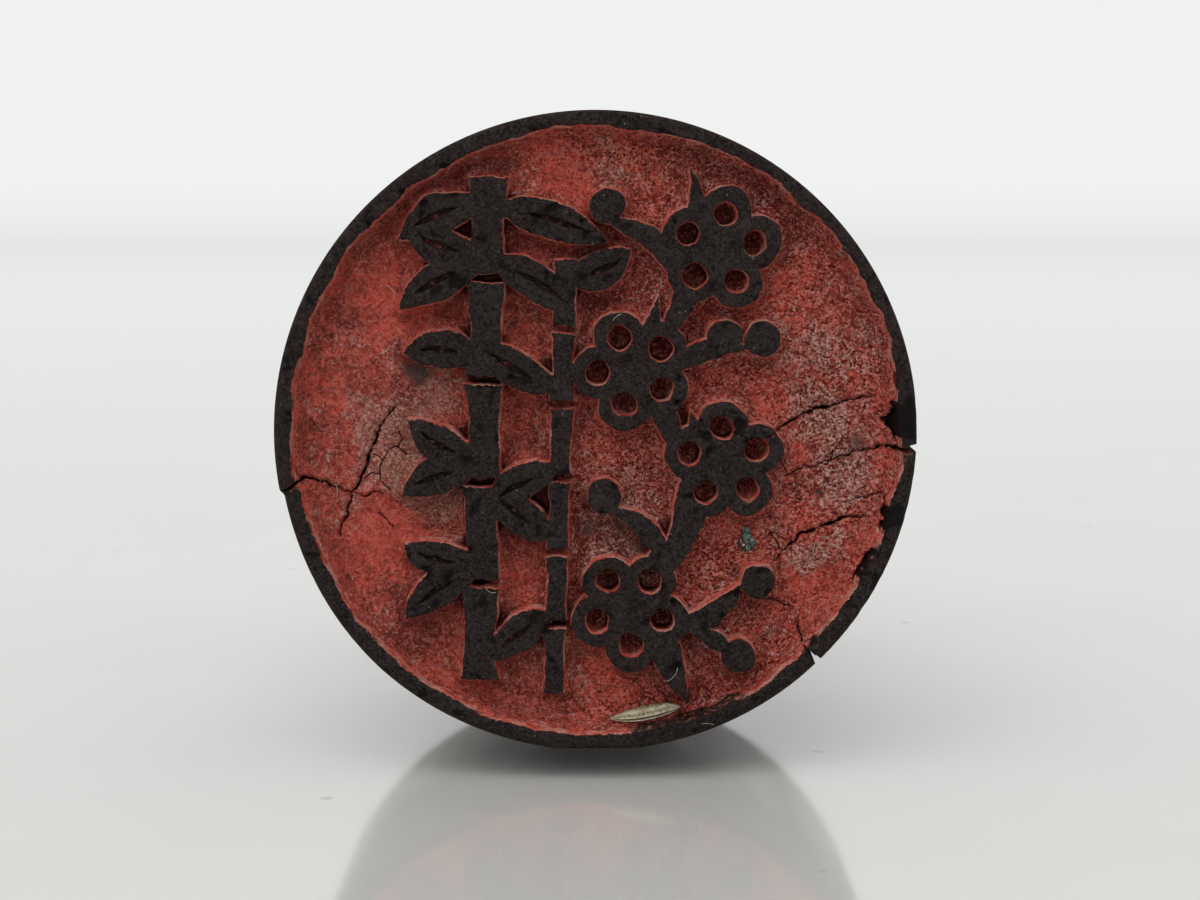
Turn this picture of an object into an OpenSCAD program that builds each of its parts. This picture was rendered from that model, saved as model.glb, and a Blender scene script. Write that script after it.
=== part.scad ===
// Round wooden seal stamp, lying on its side with the printing end towards -Y.
// An end-grain printing block carries the carved design, and a turned grip is glued into its back.
// Dried ink paste fills the carved ground, with a husk flake and a green fleck stuck in it.

/* [Printing block] */
// Diameter of the printing block
block_d = 30; // [26:0.5:36]
// Length of the printing block, from the printing plane to the seat of the grip
block_l = 24; // [18:1:34]
// Width of the rim at the printing plane
rim_w = 0.8; // [0.6:0.1:1.4]
// Depth of the carved ground below the printing plane
ground_depth = 2.4; // [1.8:0.1:3]
// Worn chamfer round the printing end
face_chamfer = 0.15; // [0.05:0.05:0.3]
// Chamfer round the back of the block
back_chamfer = 0.8; // [0.3:0.1:1.5]
// Depth of the flat worn along the side that the stamp lies on
rest_flat = 0.12; // [0.1:0.02:0.3]

/* [Carved design] */
// Clear ground left between the design and the rim
field_margin = 0.8; // [0.5:0.1:1.5]
// Width of the thick bamboo stem at its joints
stem_w = 1.8; // [1.4:0.1:2.4]
// How much a stem narrows on each side between its joints, as a share of its width
stem_waist = 0.11; // [0.04:0.01:0.16]
// Gap carved at each joint of a stem
joint_gap = 0.4; // [0.3:0.05:0.6]
// Widest part of a bamboo leaf
leaf_w = 1.7; // [1.3:0.1:2.1]
// Width of the vein carved along a leaf
vein_w = 0.3; // [0.2:0.05:0.4]
// Depth of the veins below the printing plane
vein_depth = 0.6; // [0.3:0.1:1.2]
// Radius of one plum petal, outside its ring
petal_r = 1.2; // [1:0.05:1.4]
// Width of the ring that outlines a petal
petal_line = 0.62; // [0.5:0.02:0.7]
// Distance from the middle of a blossom to the middle of a petal
petal_reach = 1.65; // [1.5:0.05:1.8]
// Radius of the stud in the middle of a blossom
stud_r = 0.7; // [0.5:0.05:0.9]
// Radius of a plum bud
bud_r = 0.8; // [0.6:0.05:1]
// Thickest part of the plum branch
branch_w = 1.7; // [1.2:0.1:2.2]

/* [Drying cracks] */
// Width of a crack where it opens at the rim
crack_w = 0.35; // [0.2:0.05:0.6]
// Depth of the cracks below the carved ground
crack_depth = 4; // [2:0.5:8]

/* [Ink paste] */
// Thickness of the dried paste on the carved ground
paste_t = 0.5; // [0.3:0.05:0.8]
// How far the paste has climbed up the wall of the rim
bank_h = 1; // [0.4:0.1:1]
// Width of the hollow bank of paste along the rim
bank_w = 1.2; // [1:0.1:1.6]
// Widest part of the strip that has lost its paste along the lower right wall
bare_strip = 0.35; // [0.2:0.05:0.8]

/* [Things stuck in the paste] */
// Length of the husk flake
flake_l = 3.4; // [2.5:0.1:4.5]
// Width of the husk flake
flake_w = 1; // [0.7:0.05:1.4]
// Height of the husk flake's crown above the paste
flake_t = 0.45; // [0.3:0.05:0.7]
// Gap between the husk flake and the carved wall beside it
flake_gap = 0.1; // [0.05:0.05:0.5]
// Height of the lump of paste that carries the husk flake, above the rest of the paste
flake_rise = 0.6; // [0.2:0.1:1]
// Length of the green fleck
fleck_l = 1.2; // [0.8:0.1:1.5]
// Height of the green fleck above the paste
fleck_t = 0.4; // [0.2:0.05:0.6]

/* [Grip] */
// Length of the grip behind the block
grip_l = 26; // [22:1:32]
// Diameter of the round knob at the end of the grip
knob_d = 18; // [15:0.5:22]
// Diameter of the grip's neck
neck_d = 11.6; // [10.5:0.2:13]
// Radius of the hollow turned between collar and knob
cove_r = 6; // [4.5:0.5:7]
// How far the hollow runs into the knob, which makes a crisp line where they meet
knob_crease = 0.8; // [0.4:0.1:1.5]
// Diameter of the collar that seats on the block
collar_d = 17; // [15.5:0.5:21]
// Thickness of the collar
collar_t = 2.2; // [1.6:0.2:3]
// Diameter of the tenon glued into the block
tenon_d = 10; // [7:0.5:10]
// Length of the tenon
tenon_l = 14; // [8:1:15]
// Glue gap round the tenon
glue_gap = 0.05; // [0.02:0.01:0.1]
// Gap left at the end of the tenon
tenon_end_gap = 0.5; // [0.2:0.1:1]

/* [Hidden] */
$fn = 96;

wood_colour = [0.13, 0.12, 0.115];
paste_colour = [0.62, 0.13, 0.1];
husk_colour = [0.72, 0.66, 0.52];
fleck_colour = [0.22, 0.4, 0.34];

block_r = block_d / 2;
overall_l = block_l + grip_l;
recess_r = block_r - rim_w;
field_r = recess_r - field_margin;
// The cutting solids run past the surface they cut by this much
over = 0.4;
paste_w = paste_t - ground_depth;
// Clearance round the husk flake in the bank of paste
flake_clear = flake_gap / 2;

// Places on the face are in shares of the field's radius, X to the right and Y up, as the face is seen

// Bamboo stems: foot, top, share of the thick stem's width, and number of sections
stems = [
    [[-0.41, -0.88], [-0.37, 0.9], 1, 5],
    [[-0.15, -0.93], [-0.1, 0.62], 0.6, 6],
];
// Leaves: the stem, where each springs from counted in sections from the foot, its direction in degrees,
// its length and its bend
leaves = [
    [0, 4.75, 203, 0.34, 0.15],
    [0, 4.7, -18, 0.44, -0.15],
    [0, 4.2, 158, 0.3, -0.2],
    [0, 4.14, 208, 0.34, 0.2],
    [0, 4.18, -32, 0.36, -0.2],
    [0, 3.2, 176, 0.28, 0.2],
    [0, 2.2, 150, 0.3, -0.2],
    [0, 2.14, 199, 0.3, 0.2],
    [0, 1.2, 166, 0.28, -0.2],
    [0, 1.14, 214, 0.32, 0.2],
    [1, 4.2, 148, 0.34, -0.2],
    [1, 3.15, 212, 0.3, 0.2],
    [1, 5.7, 24, 0.24, 0.2],
    [1, 2.2, 144, 0.3, -0.15],
    [1, 1.15, 216, 0.28, 0.15],
];
// Plum branch strokes: foot, tip, share of the branch's thickness, and camber in shares of the length
branch = [
    [[0.33, -0.94], [0.22, -0.36], 1, -0.1],
    [[0.2, -0.54], [0.33, 0.08], 0.95, 0.12],
    [[0.33, -0.1], [0.22, 0.48], 0.85, -0.12],
    [[0.21, 0.3], [0.33, 0.92], 0.8, 0.12],
    [[0.22, -0.68], [0.52, -0.52], 0.6, 0.14],
    [[0.24, 0.2], [0.54, 0.3], 0.6, -0.12],
    [[0.32, 0.5], [0.04, 0.74], 0.65, 0.14],
    [[0.26, -0.48], [0.04, -0.26], 0.55, 0.14],
    [[0.34, -0.7], [0.48, -0.78], 0.5, -0.12],
];
// Blossoms: place of the middle, and turn in degrees
blossoms = [
    [[0.43, 0.64], 10],
    [[0.13, 0.22], 40],
    [[0.45, -0.1], 22],
    [[0.12, -0.62], 55],
];
// Buds: place of the middle
buds = [[0.04, 0.79], [0.58, 0.33], [0.03, -0.22], [0.57, -0.52], [0.5, -0.78], [0.45, 0.34]];

// Cracks are in shares of the block's radius, from the rim inwards
open_cracks = [
    [[1.04, -0.037], [0.961, -0.053], [0.908, -0.047], [0.843, -0.062], [0.747, -0.092], [0.593, -0.139]],
    [[0.745, -0.76], [0.703, -0.717], [0.652, -0.675], [0.646, -0.61]],
    [[-1.04, -0.196], [-0.97, -0.182], [-0.937, -0.155], [-0.893, -0.142], [-0.856, -0.154],
     [-0.813, -0.182], [-0.764, -0.199], [-0.68, -0.207]],
];
closed_cracks = [
    [[0.871, 0.111], [0.793, 0.096], [0.718, 0.077], [0.637, 0.04], [0.531, -0.013]],
    [[0.855, -0.265], [0.783, -0.277], [0.724, -0.297], [0.653, -0.336], [0.575, -0.399]],
    [[-0.631, 0.093], [-0.69, -0.015], [-0.739, -0.136], [-0.764, -0.197], [-0.809, -0.33]],
];

bare_strip_angle = -28;
flake_angle = -80;
fleck_place = [0.53, -0.38];
fleck_turn = 20;

function direction(a) = [cos(a), sin(a)];
function heading(p, q) = atan2(q[1] - p[1], q[0] - p[0]);
function reverse(list) = [for (i = [len(list) - 1 : -1 : 0]) list[i]];
function stem_joint(stem, k) = stem[0] + (stem[1] - stem[0]) * k / stem[3];
// Radius of the arc that stands a given height over a chord
function arc_radius(chord, height) = (chord * chord / 4 + height * height) / (2 * height);

// Seen from the front, X is to the right and Y is up; Z comes out of the printing plane
module on_face() {
    translate([0, -overall_l / 2, block_r - rest_flat]) rotate([90, 0, 0]) children();
}

// A stroke along Y between two arcs, which bulge by right and by left; a negative left bends it
module stroke(l, right, left) {
    right_r = arc_radius(l, right);
    left_r = arc_radius(l, abs(left));
    translate([0, l / 2])
        if (left > 0)
            intersection() {
                translate([right - right_r, 0]) circle(r = right_r);
                translate([left_r - left, 0]) circle(r = left_r);
            }
        else
            difference() {
                translate([right - right_r, 0]) circle(r = right_r);
                translate([-left - left_r, 0]) circle(r = left_r);
            }
}

module bamboo_stems() {
    for (stem = stems) {
        w = stem_w * stem[2];
        waist = w * stem_waist;
        section_l = field_r * norm(stem[1] - stem[0]) / stem[3] - joint_gap;
        waist_r = arc_radius(section_l, waist);
        for (k = [0.5 : stem[3] - 0.5])
            translate(field_r * stem_joint(stem, k))
                rotate(heading(stem[0], stem[1]) - 90)
                    difference() {
                        square([w, section_l], center = true);
                        for (side = [-1, 1])
                            translate([side * (w / 2 - waist + waist_r), 0]) circle(r = waist_r);
                    }
    }
}

module on_leaf(leaf) {
    translate(field_r * stem_joint(stems[leaf[0]], leaf[1])) rotate(leaf[2] - 90) children();
}

module bamboo_leaves() {
    for (leaf = leaves)
        on_leaf(leaf) stroke(field_r * leaf[3], leaf_w * (0.5 + leaf[4]), leaf_w * (0.5 - leaf[4]));
}

// A vein runs along the middle of each leaf, stopping short of both ends
module leaf_veins() {
    start = 0.3;
    run = 0.52;
    for (leaf = leaves) {
        l = field_r * leaf[3];
        camber = leaf_w * leaf[4];
        on_leaf(leaf)
            translate([camber * (1 - run * run), start * l])
                mirror([camber < 0 ? 1 : 0, 0])
                    stroke(l * run, abs(camber) * run * run + vein_w / 2, vein_w / 2 - abs(camber) * run * run);
    }
}

module plum_branch() {
    for (limb = branch) {
        l = field_r * norm(limb[1] - limb[0]);
        half_w = branch_w * limb[2] / 2;
        camber = l * limb[3];
        translate(field_r * limb[0])
            rotate(heading(limb[0], limb[1]) - 90)
                mirror([camber < 0 ? 1 : 0, 0])
                    stroke(l, abs(camber) + half_w, half_w - abs(camber));
    }
}

module at_petals() {
    for (blossom = blossoms)
        translate(field_r * blossom[0])
            for (k = [0 : 4])
                rotate(blossom[1] + 72 * k)
                    translate([petal_reach, 0]) children();
}

module blossom_outlines() {
    at_petals() circle(r = petal_r);
    for (blossom = blossoms)
        translate(field_r * blossom[0]) circle(r = stud_r);
}

module plum_buds() {
    for (bud = buds)
        translate(field_r * bud) circle(r = bud_r);
}

// Everything that stands at the printing plane inside the rim, with the petals still solid
module solid_design() {
    bamboo_stems();
    bamboo_leaves();
    plum_branch();
    blossom_outlines();
    plum_buds();
}

module petal_cells() {
    at_petals() circle(r = petal_r - petal_line);
}

module open_ground() {
    difference() {
        circle(r = recess_r);
        solid_design();
    }
}

// Outline of a slender crack: full width at its first point if open there, and closing to a hair at its ends
function crack_width(i, n, open) = crack_w * max(0.12, open ? 1 - i / n : 0.8 * sin(180 * i / n));
function crack_normal(p, i, n) = direction(heading(p[max(i - 1, 0)], p[min(i + 1, n)]) + 90);
function crack_edge(p, side, open) = let (n = len(p) - 1)
    [for (i = [0 : n]) p[i] * block_r + side * crack_width(i, n, open) / 2 * crack_normal(p, i, n)];

module crack(path, open) {
    polygon(concat(crack_edge(path, 1, open), reverse(crack_edge(path, -1, open))));
}

module cracks() {
    for (path = open_cracks) crack(path, true);
    for (path = closed_cracks) crack(path, false);
}

// Cuts a shape into the printing end, down to a depth
module carved(depth) {
    translate([0, 0, -depth]) linear_extrude(height = depth + over) children();
}

module drum() {
    rotate_extrude()
        polygon([
            [0, 0],
            [block_r - face_chamfer, 0],
            [block_r, -face_chamfer],
            [block_r, back_chamfer - block_l],
            [block_r - back_chamfer, -block_l],
            [0, -block_l],
        ]);
}

// What the flat takes off the underside of the block
module resting_side() {
    translate([-block_r, -block_d - block_r + rest_flat, -block_l - over])
        cube([block_d, block_d, block_l + 2 * over]);
}

module tenon_socket() {
    translate([0, 0, -block_l - over])
        cylinder(h = tenon_l + tenon_end_gap + over, d = tenon_d + 2 * glue_gap);
}

module printing_block() {
    color(wood_colour) on_face()
        difference() {
            drum();
            carved(ground_depth) open_ground();
            carved(ground_depth) petal_cells();
            carved(vein_depth) leaf_veins();
            carved(ground_depth + crack_depth) cracks();
            resting_side();
            tenon_socket();
        }
}

// Fills a shape with paste, from the ground up
module filled(height) {
    translate([0, 0, -ground_depth]) linear_extrude(height = height) children();
}

// Where paste lies on the open ground: all of it but the bare strip and the cracks
module paste_ground() {
    difference() {
        intersection() {
            open_ground();
            translate(-bare_strip * direction(bare_strip_angle)) circle(r = recess_r);
        }
        cracks();
    }
}

// The hollow bank that paste makes against the rim's wall, standing on the bed of paste
module rim_bank() {
    hollow_r = arc_radius(2 * bank_w, bank_h);
    translate([0, 0, paste_w])
        rotate_extrude()
            difference() {
                translate([recess_r - bank_w, 0]) square([bank_w, bank_h]);
                translate([recess_r - bank_w, hollow_r]) circle(r = hollow_r);
            }
}

// The husk flake's seat is on a lump of paste beside the rim's wall
module at_flake() {
    reach = recess_r - flake_w / 2 - flake_gap;
    rotate([0, 0, flake_angle]) translate([reach, 0, paste_w + flake_rise]) children();
}

module ink_paste() {
    color(paste_colour) on_face() {
        filled(paste_t) paste_ground();
        intersection() {
            union() {
                difference() {
                    rim_bank();
                    at_flake() lens_prism(flake_l + 2 * flake_clear, flake_w + 2 * flake_clear, bank_h);
                }
                at_flake() translate([0, 0, -flake_rise]) lens_prism(flake_l, flake_w, flake_rise);
            }
            filled(ground_depth) paste_ground();
        }
    }
}

module ink_pockets() {
    color(paste_colour) on_face()
        filled(paste_t) petal_cells();
}

module husk_flake() {
    crown_r = arc_radius(flake_w, flake_t);
    color(husk_colour) on_face()
        at_flake()
            intersection() {
                lens_prism(flake_l, flake_w, flake_t);
                translate([0, 0, flake_t - crown_r]) rotate([90, 0, 0])
                    cylinder(h = flake_l, r = crown_r, center = true);
            }
}

// A lens-shaped prism along Y, standing on its base
module lens_prism(l, w, h) {
    side_r = arc_radius(l, w / 2);
    intersection() {
        translate([w / 2 - side_r, 0, 0]) cylinder(h = h, r = side_r);
        translate([side_r - w / 2, 0, 0]) cylinder(h = h, r = side_r);
    }
}

module green_fleck() {
    color(fleck_colour) on_face()
        translate(concat(field_r * fleck_place, paste_w)) rotate([0, 0, fleck_turn])
            linear_extrude(height = fleck_t, scale = 0.6)
                polygon(fleck_l / 2 * [[-0.7, -0.9], [0.5, -1], [0.75, -0.1], [0.1, 1], [-0.5, 0.3]]);
}

// The grip is measured along Z from the block's back, with the knob at the lower end
module grip() {
    knob_r = knob_d / 2;
    neck_r = neck_d / 2;
    bead_r = collar_t / 2;
    flare_r = collar_d / 2 - bead_r;
    knob_z = knob_r - grip_l;
    cove_x = neck_r + cove_r;
    // The hollow runs into the knob a little, so the two meet in a crisp turned line
    cove_z = knob_z + sqrt(pow(knob_r + cove_r - knob_crease, 2) - pow(cove_x, 2));
    color(wood_colour) on_face()
        translate([0, 0, -block_l]) {
            translate([0, 0, -bead_r]) cylinder(h = tenon_l + bead_r, d = tenon_d);
            translate([0, 0, -collar_t]) cylinder(h = collar_t, r = flare_r);
            translate([0, 0, -bead_r]) rotate_extrude() translate([flare_r, 0]) circle(r = bead_r);
            rotate_extrude()
                difference() {
                    polygon([[0, -bead_r], [flare_r, -bead_r], [flare_r, cove_z], [cove_x, cove_z], [0, knob_z]]);
                    translate([cove_x, cove_z]) circle(r = cove_r);
                }
            translate([0, 0, knob_z]) sphere(r = knob_r);
        }
}

printing_block();
grip();
ink_paste();
ink_pockets();
husk_flake();
green_fleck();
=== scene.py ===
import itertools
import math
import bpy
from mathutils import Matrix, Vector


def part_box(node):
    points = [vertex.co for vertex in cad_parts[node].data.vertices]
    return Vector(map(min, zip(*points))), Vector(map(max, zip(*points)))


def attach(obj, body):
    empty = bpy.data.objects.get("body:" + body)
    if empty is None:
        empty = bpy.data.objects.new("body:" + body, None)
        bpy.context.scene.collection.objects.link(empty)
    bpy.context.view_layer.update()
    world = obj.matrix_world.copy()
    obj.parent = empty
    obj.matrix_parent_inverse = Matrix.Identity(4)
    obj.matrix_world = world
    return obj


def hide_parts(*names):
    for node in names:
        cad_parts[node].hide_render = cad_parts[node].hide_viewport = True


bl_info = {
    "name": "Seal stamp finishes",
    "version": (1, 0, 0),
    "blender": (4, 5, 0),
    "location": "View3D > Sidebar > Seal",
    "description": "Dresses a carved wooden seal: worn wood, caked ink paste, a turned grip and a table",
    "category": "Object",
}

import bmesh
import bpy
import numpy as np
from bpy.props import FloatProperty, FloatVectorProperty, IntProperty, PointerProperty
from mathutils import Vector
from mathutils.geometry import delaunay_2d_cdt
from mathutils.kdtree import KDTree

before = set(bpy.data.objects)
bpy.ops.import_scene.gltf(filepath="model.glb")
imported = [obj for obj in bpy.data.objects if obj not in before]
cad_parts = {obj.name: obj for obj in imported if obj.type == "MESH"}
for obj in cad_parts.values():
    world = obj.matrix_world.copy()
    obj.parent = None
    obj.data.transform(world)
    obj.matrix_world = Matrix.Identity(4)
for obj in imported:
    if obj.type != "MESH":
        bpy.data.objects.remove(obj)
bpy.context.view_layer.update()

MM = 0.001
PHOTO_WIDTH = 1200
PHOTO_HEIGHT = 900

# Mesh sizes in mm: longest step along carved outlines, and spacing of points on the wood and the paste
OUTLINE_STEP = 0.085
WOOD_PITCH = 0.2
PASTE_PITCH = 0.105
# Segments round the drum
RIM_SEGMENTS = 800
# The distance in mm that is given where there is nothing to measure to
FAR = 9.0

# The face is worked on in millimetres: u to the right and v up from its middle, and w out of its plane.
# Angles round the face start at the right and run anticlockwise.
# Soft spots on the paste are each u, v, radius and strength.
DUSTY_SPOTS = (
    (11.0, 0.7, 1.2, 1.4), (11.8, -2.0, 1.5, 1.5), (10.5, -5.9, 1.0, 1.3), (10.4, 3.2, 1.8, 0.6),
    (12.4, 4.6, 1.2, 0.4), (-9.7, -0.7, 2.1, 1.5), (-7.4, -3.2, 1.5, 1.4), (-7.4, 2.2, 1.2, 0.9),
    (-12.6, -4.6, 1.2, 0.5), (1.0, -3.6, 1.8, 0.9), (1.6, -6.6, 1.6, 0.8), (0.4, 12.3, 1.1, 1.0),
    (8.6, 4.4, 1.6, 0.4), (-1.4, -11.0, 1.4, 0.8), (4.6, -9.0, 1.2, 0.6), (1.5, -5.0, 1.2, 0.8),
)
FRESH_SPOTS = (
    (-9.8, 6.0, 2.0, 1.5), (-10.2, -5.0, 2.0, 1.4), (-13.0, 1.6, 1.2, 0.7), (-1.2, 11.6, 1.9, 1.3),
    (0.8, -11.4, 2.2, 1.2), (10.6, -7.4, 1.6, 1.2), (8.6, 6.6, 2.2, 0.6), (-4.6, -11.6, 1.6, 0.6),
    (0.4, 1.4, 1.4, 0.5), (8.4, 1.5, 1.0, 1.0), (13.2, -1.7, 0.8, 1.2), (9.8, -4.4, 1.0, 1.0),
    (12.9, -4.9, 0.9, 1.0), (9.4, -1.0, 0.7, 0.8),
)
# Darker maroon spots: soaked ink in places, and painted shade under the top of the rim.
SOAKED_AND_SHADED_SPOTS = (
    (-5.6, 12.2, 1.8, 1.2), (6.8, 11.3, 1.8, 1.1), (3.8, 12.9, 1.3, 0.7), (-10.8, 8.6, 1.6, 0.7),
    (0.4, -6.0, 1.6, 0.7), (-8.8, -9.2, 1.8, 0.5), (3.6, -11.4, 1.6, 0.6), (9.6, 9.2, 1.8, 0.6),
    (-8.6, 3.2, 0.55, 1.6), (-8.1, 3.6, 0.4, 1.2), (-5.2, -12.2, 1.4, 0.6), (-12.2, 5.4, 1.3, 1.1),
    (-0.5, 7.0, 1.3, 0.8), (-0.9, 2.6, 1.2, 0.7), (0.0, -3.6, 1.8, 0.9), (0.8, -7.2, 1.3, 1.4),
    (-2.6, -0.6, 1.0, 0.7),
)
# Dark grey spots on the paste.
DARK_GREY_SPOTS = (
    (-8.4, 2.8, 0.62, 1.5), (-7.6, 3.45, 0.42, 1.2), (12.3, -0.6, 0.5, 0.7), (10.6, -2.9, 0.3, 0.6),
    (0.9, -7.4, 0.8, 0.8), (2.3, -5.3, 0.50, 1.1), (1.2, -4.5, 0.40, 0.9), (-0.4, -4.6, 0.40, 1.0),
    (-0.3, -3.2, 0.40, 0.9),
)
# Places round the rim where the paste has broken away: middle and spread in degrees, and depth in mm
BITES = ((2.2, 3.0, 0.52), (-16.0, 2.2, 0.22), (-26.0, 3.0, 0.14), (-43.0, 4.0, 0.07))
# Bare rusty wood beside the split rim
RUSTY_SPOTS = ((14.55, -0.85, 0.30, 1.1), (14.25, -1.25, 0.35, 0.6), (10.6, -10.0, 0.25, 0.6))
# Fibres of lint, each u, v, heading in degrees, length in mm and bend in degrees for each mm
FIBRES = (
    (3.30, -11.70, 25.0, 0.9, 40.0), (-5.20, -7.10, -70.0, 0.7, 90.0), (-2.30, -13.95, 150.0, 0.8, 30.0),
    (-9.90, 6.90, -20.0, 0.8, -70.0), (7.30, 8.20, 60.0, 0.6, 80.0), (10.40, -6.10, 110.0, 0.7, -60.0),
    (1.20, 5.60, 200.0, 0.5, 70.0), (-12.30, -3.20, 75.0, 0.7, 50.0), (5.00, -13.70, 12.0, 0.6, -50.0),
)
# Fine drying lines in the paste, each under the seed of its wobble
HAIRLINES = {
    61: ((-10.45, -1.15), (-10.05, -1.44), (-9.75, -0.86), (-9.30, -0.78), (-8.95, -1.21)),
    62: ((-10.05, -1.44), (-10.22, -1.73), (-10.17, -2.42), (-9.70, -2.82)),
    63: ((-11.0, -2.25), (-10.6, -2.05), (-10.2, -2.13)),
    64: ((-10.30, -3.96), (-9.90, -4.24), (-9.61, -4.63)),
    65: ((-9.30, -0.78), (-9.12, -0.42), (-9.26, -0.10)),
    66: ((8.30, -4.86), (8.62, -5.20), (8.90, -5.66)),
    67: ((8.70, -1.20), (8.84, -1.60), (9.10, -1.96)),
    68: ((11.20, -0.90), (11.10, -1.30), (11.06, -1.56)),
    72: ((12.35, -3.25), (12.70, -3.16), (13.10, -2.98), (13.5, -2.95)),
    73: ((8.08, -7.95), (8.50, -8.00), (8.80, -8.24), (9.2, -8.37)),
}


def radius_of(points):
    return np.hypot(points[:, 0], points[:, 1])


def angle_of(points):
    """Angles round the face in degrees."""
    return np.degrees(np.arctan2(points[:, 1], points[:, 0]))


def smooth(low, high, x):
    """0 at low, 1 at high, and smooth in between."""
    t = np.clip((x - low) / (high - low), 0.0, 1.0)
    return t * t * (3.0 - 2.0 * t)


def grid_noise(points, seed):
    """Gradient noise, mostly within -1 to 1, at points in steps of its grid."""
    cell = np.floor(points).astype(np.int64)
    part = points - cell
    ease = part * part * part * (part * (part * 6.0 - 15.0) + 10.0)
    total = np.zeros(len(points))
    for corner in itertools.product((0, 1), repeat=3):
        at = cell + corner
        mixed = at[:, 0] * 73856093 ^ at[:, 1] * 19349663 ^ at[:, 2] * 83492791 ^ (seed * 26544357)
        mixed = (mixed ^ (mixed >> 13)) * 1274126177
        mixed = mixed ^ (mixed >> 16)
        dot = np.zeros(len(points))
        for k in range(3):
            slope = ((mixed >> (10 * k)) & 1023) / 511.5 - 1.0
            dot += slope * (part[:, k] - corner[k])
        for k in range(3):
            dot *= ease[:, k] if corner[k] else 1.0 - ease[:, k]
        total += dot
    return total * 1.5


def wobble(points, size, seed, octaves=1):
    """Smooth noise at points in mm, with features of about the given size in mm."""
    flat = np.zeros((len(points), 3))
    flat[:, : points.shape[1]] = points
    total = np.zeros(len(points))
    for k in range(octaves):
        total += grid_noise(flat * (2.0 ** k / size) + 0.37 * seed, seed + 101 * k) / 2.0 ** k
    return total


def spots(points, places):
    """Sum of soft round spots, each given as u, v, radius and strength."""
    total = np.zeros(len(points))
    for u, v, radius, strength in places:
        away = np.hypot(points[:, 0] - u, points[:, 1] - v) / radius
        total += strength * np.exp(-away * away)
    return total


def resampled(path, step, closed=True):
    """An outline with its long edges cut into pieces no longer than step."""
    points = []
    ends = np.roll(path, -1, axis=0) if closed else path[1:]
    for a, b in zip(path, ends):
        count = max(1, math.ceil(np.linalg.norm(b - a) / step))
        points.extend(a + (b - a) * k / count for k in range(count))
    if not closed:
        points.append(path[-1])
    return np.array(points)


def within(points, loops):
    """Even-odd test of many points against closed outlines."""
    odd = np.zeros(len(points), bool)
    order = np.argsort(points[:, 1])
    x, y = points[order, 0], points[order, 1]
    for loop in loops:
        for (ax, ay), (bx, by) in zip(loop, np.roll(loop, -1, axis=0)):
            if ay == by:
                continue
            first, last = np.searchsorted(y, (min(ay, by), max(ay, by)))
            odd[first:last] ^= x[first:last] < ax + (y[first:last] - ay) * (bx - ax) / (by - ay)
    answer = np.empty(len(points), bool)
    answer[order] = odd
    return answer


def sideways(loop):
    """Unit directions to the left of a closed outline at its points."""
    ahead = np.roll(loop, -1, axis=0) - np.roll(loop, 1, axis=0)
    across = np.stack((-ahead[:, 1], ahead[:, 0]), axis=1)
    return across / np.maximum(np.linalg.norm(across, axis=1), 1e-9)[:, None]


def planted(points):
    """A search tree of places on the face."""
    tree = KDTree(len(points))
    for i, (u, v) in enumerate(points):
        tree.insert((u, v, 0.0), i)
    tree.balance()
    return tree


class Nearest:
    """Distance from many points to a set of samples."""

    def __init__(self, samples):
        self.tree = planted(samples) if len(samples) else None

    def distance(self, points):
        if self.tree is None:
            return np.full(len(points), FAR)
        return np.array([self.tree.find((u, v, 0.0))[2] for u, v in points])


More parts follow.
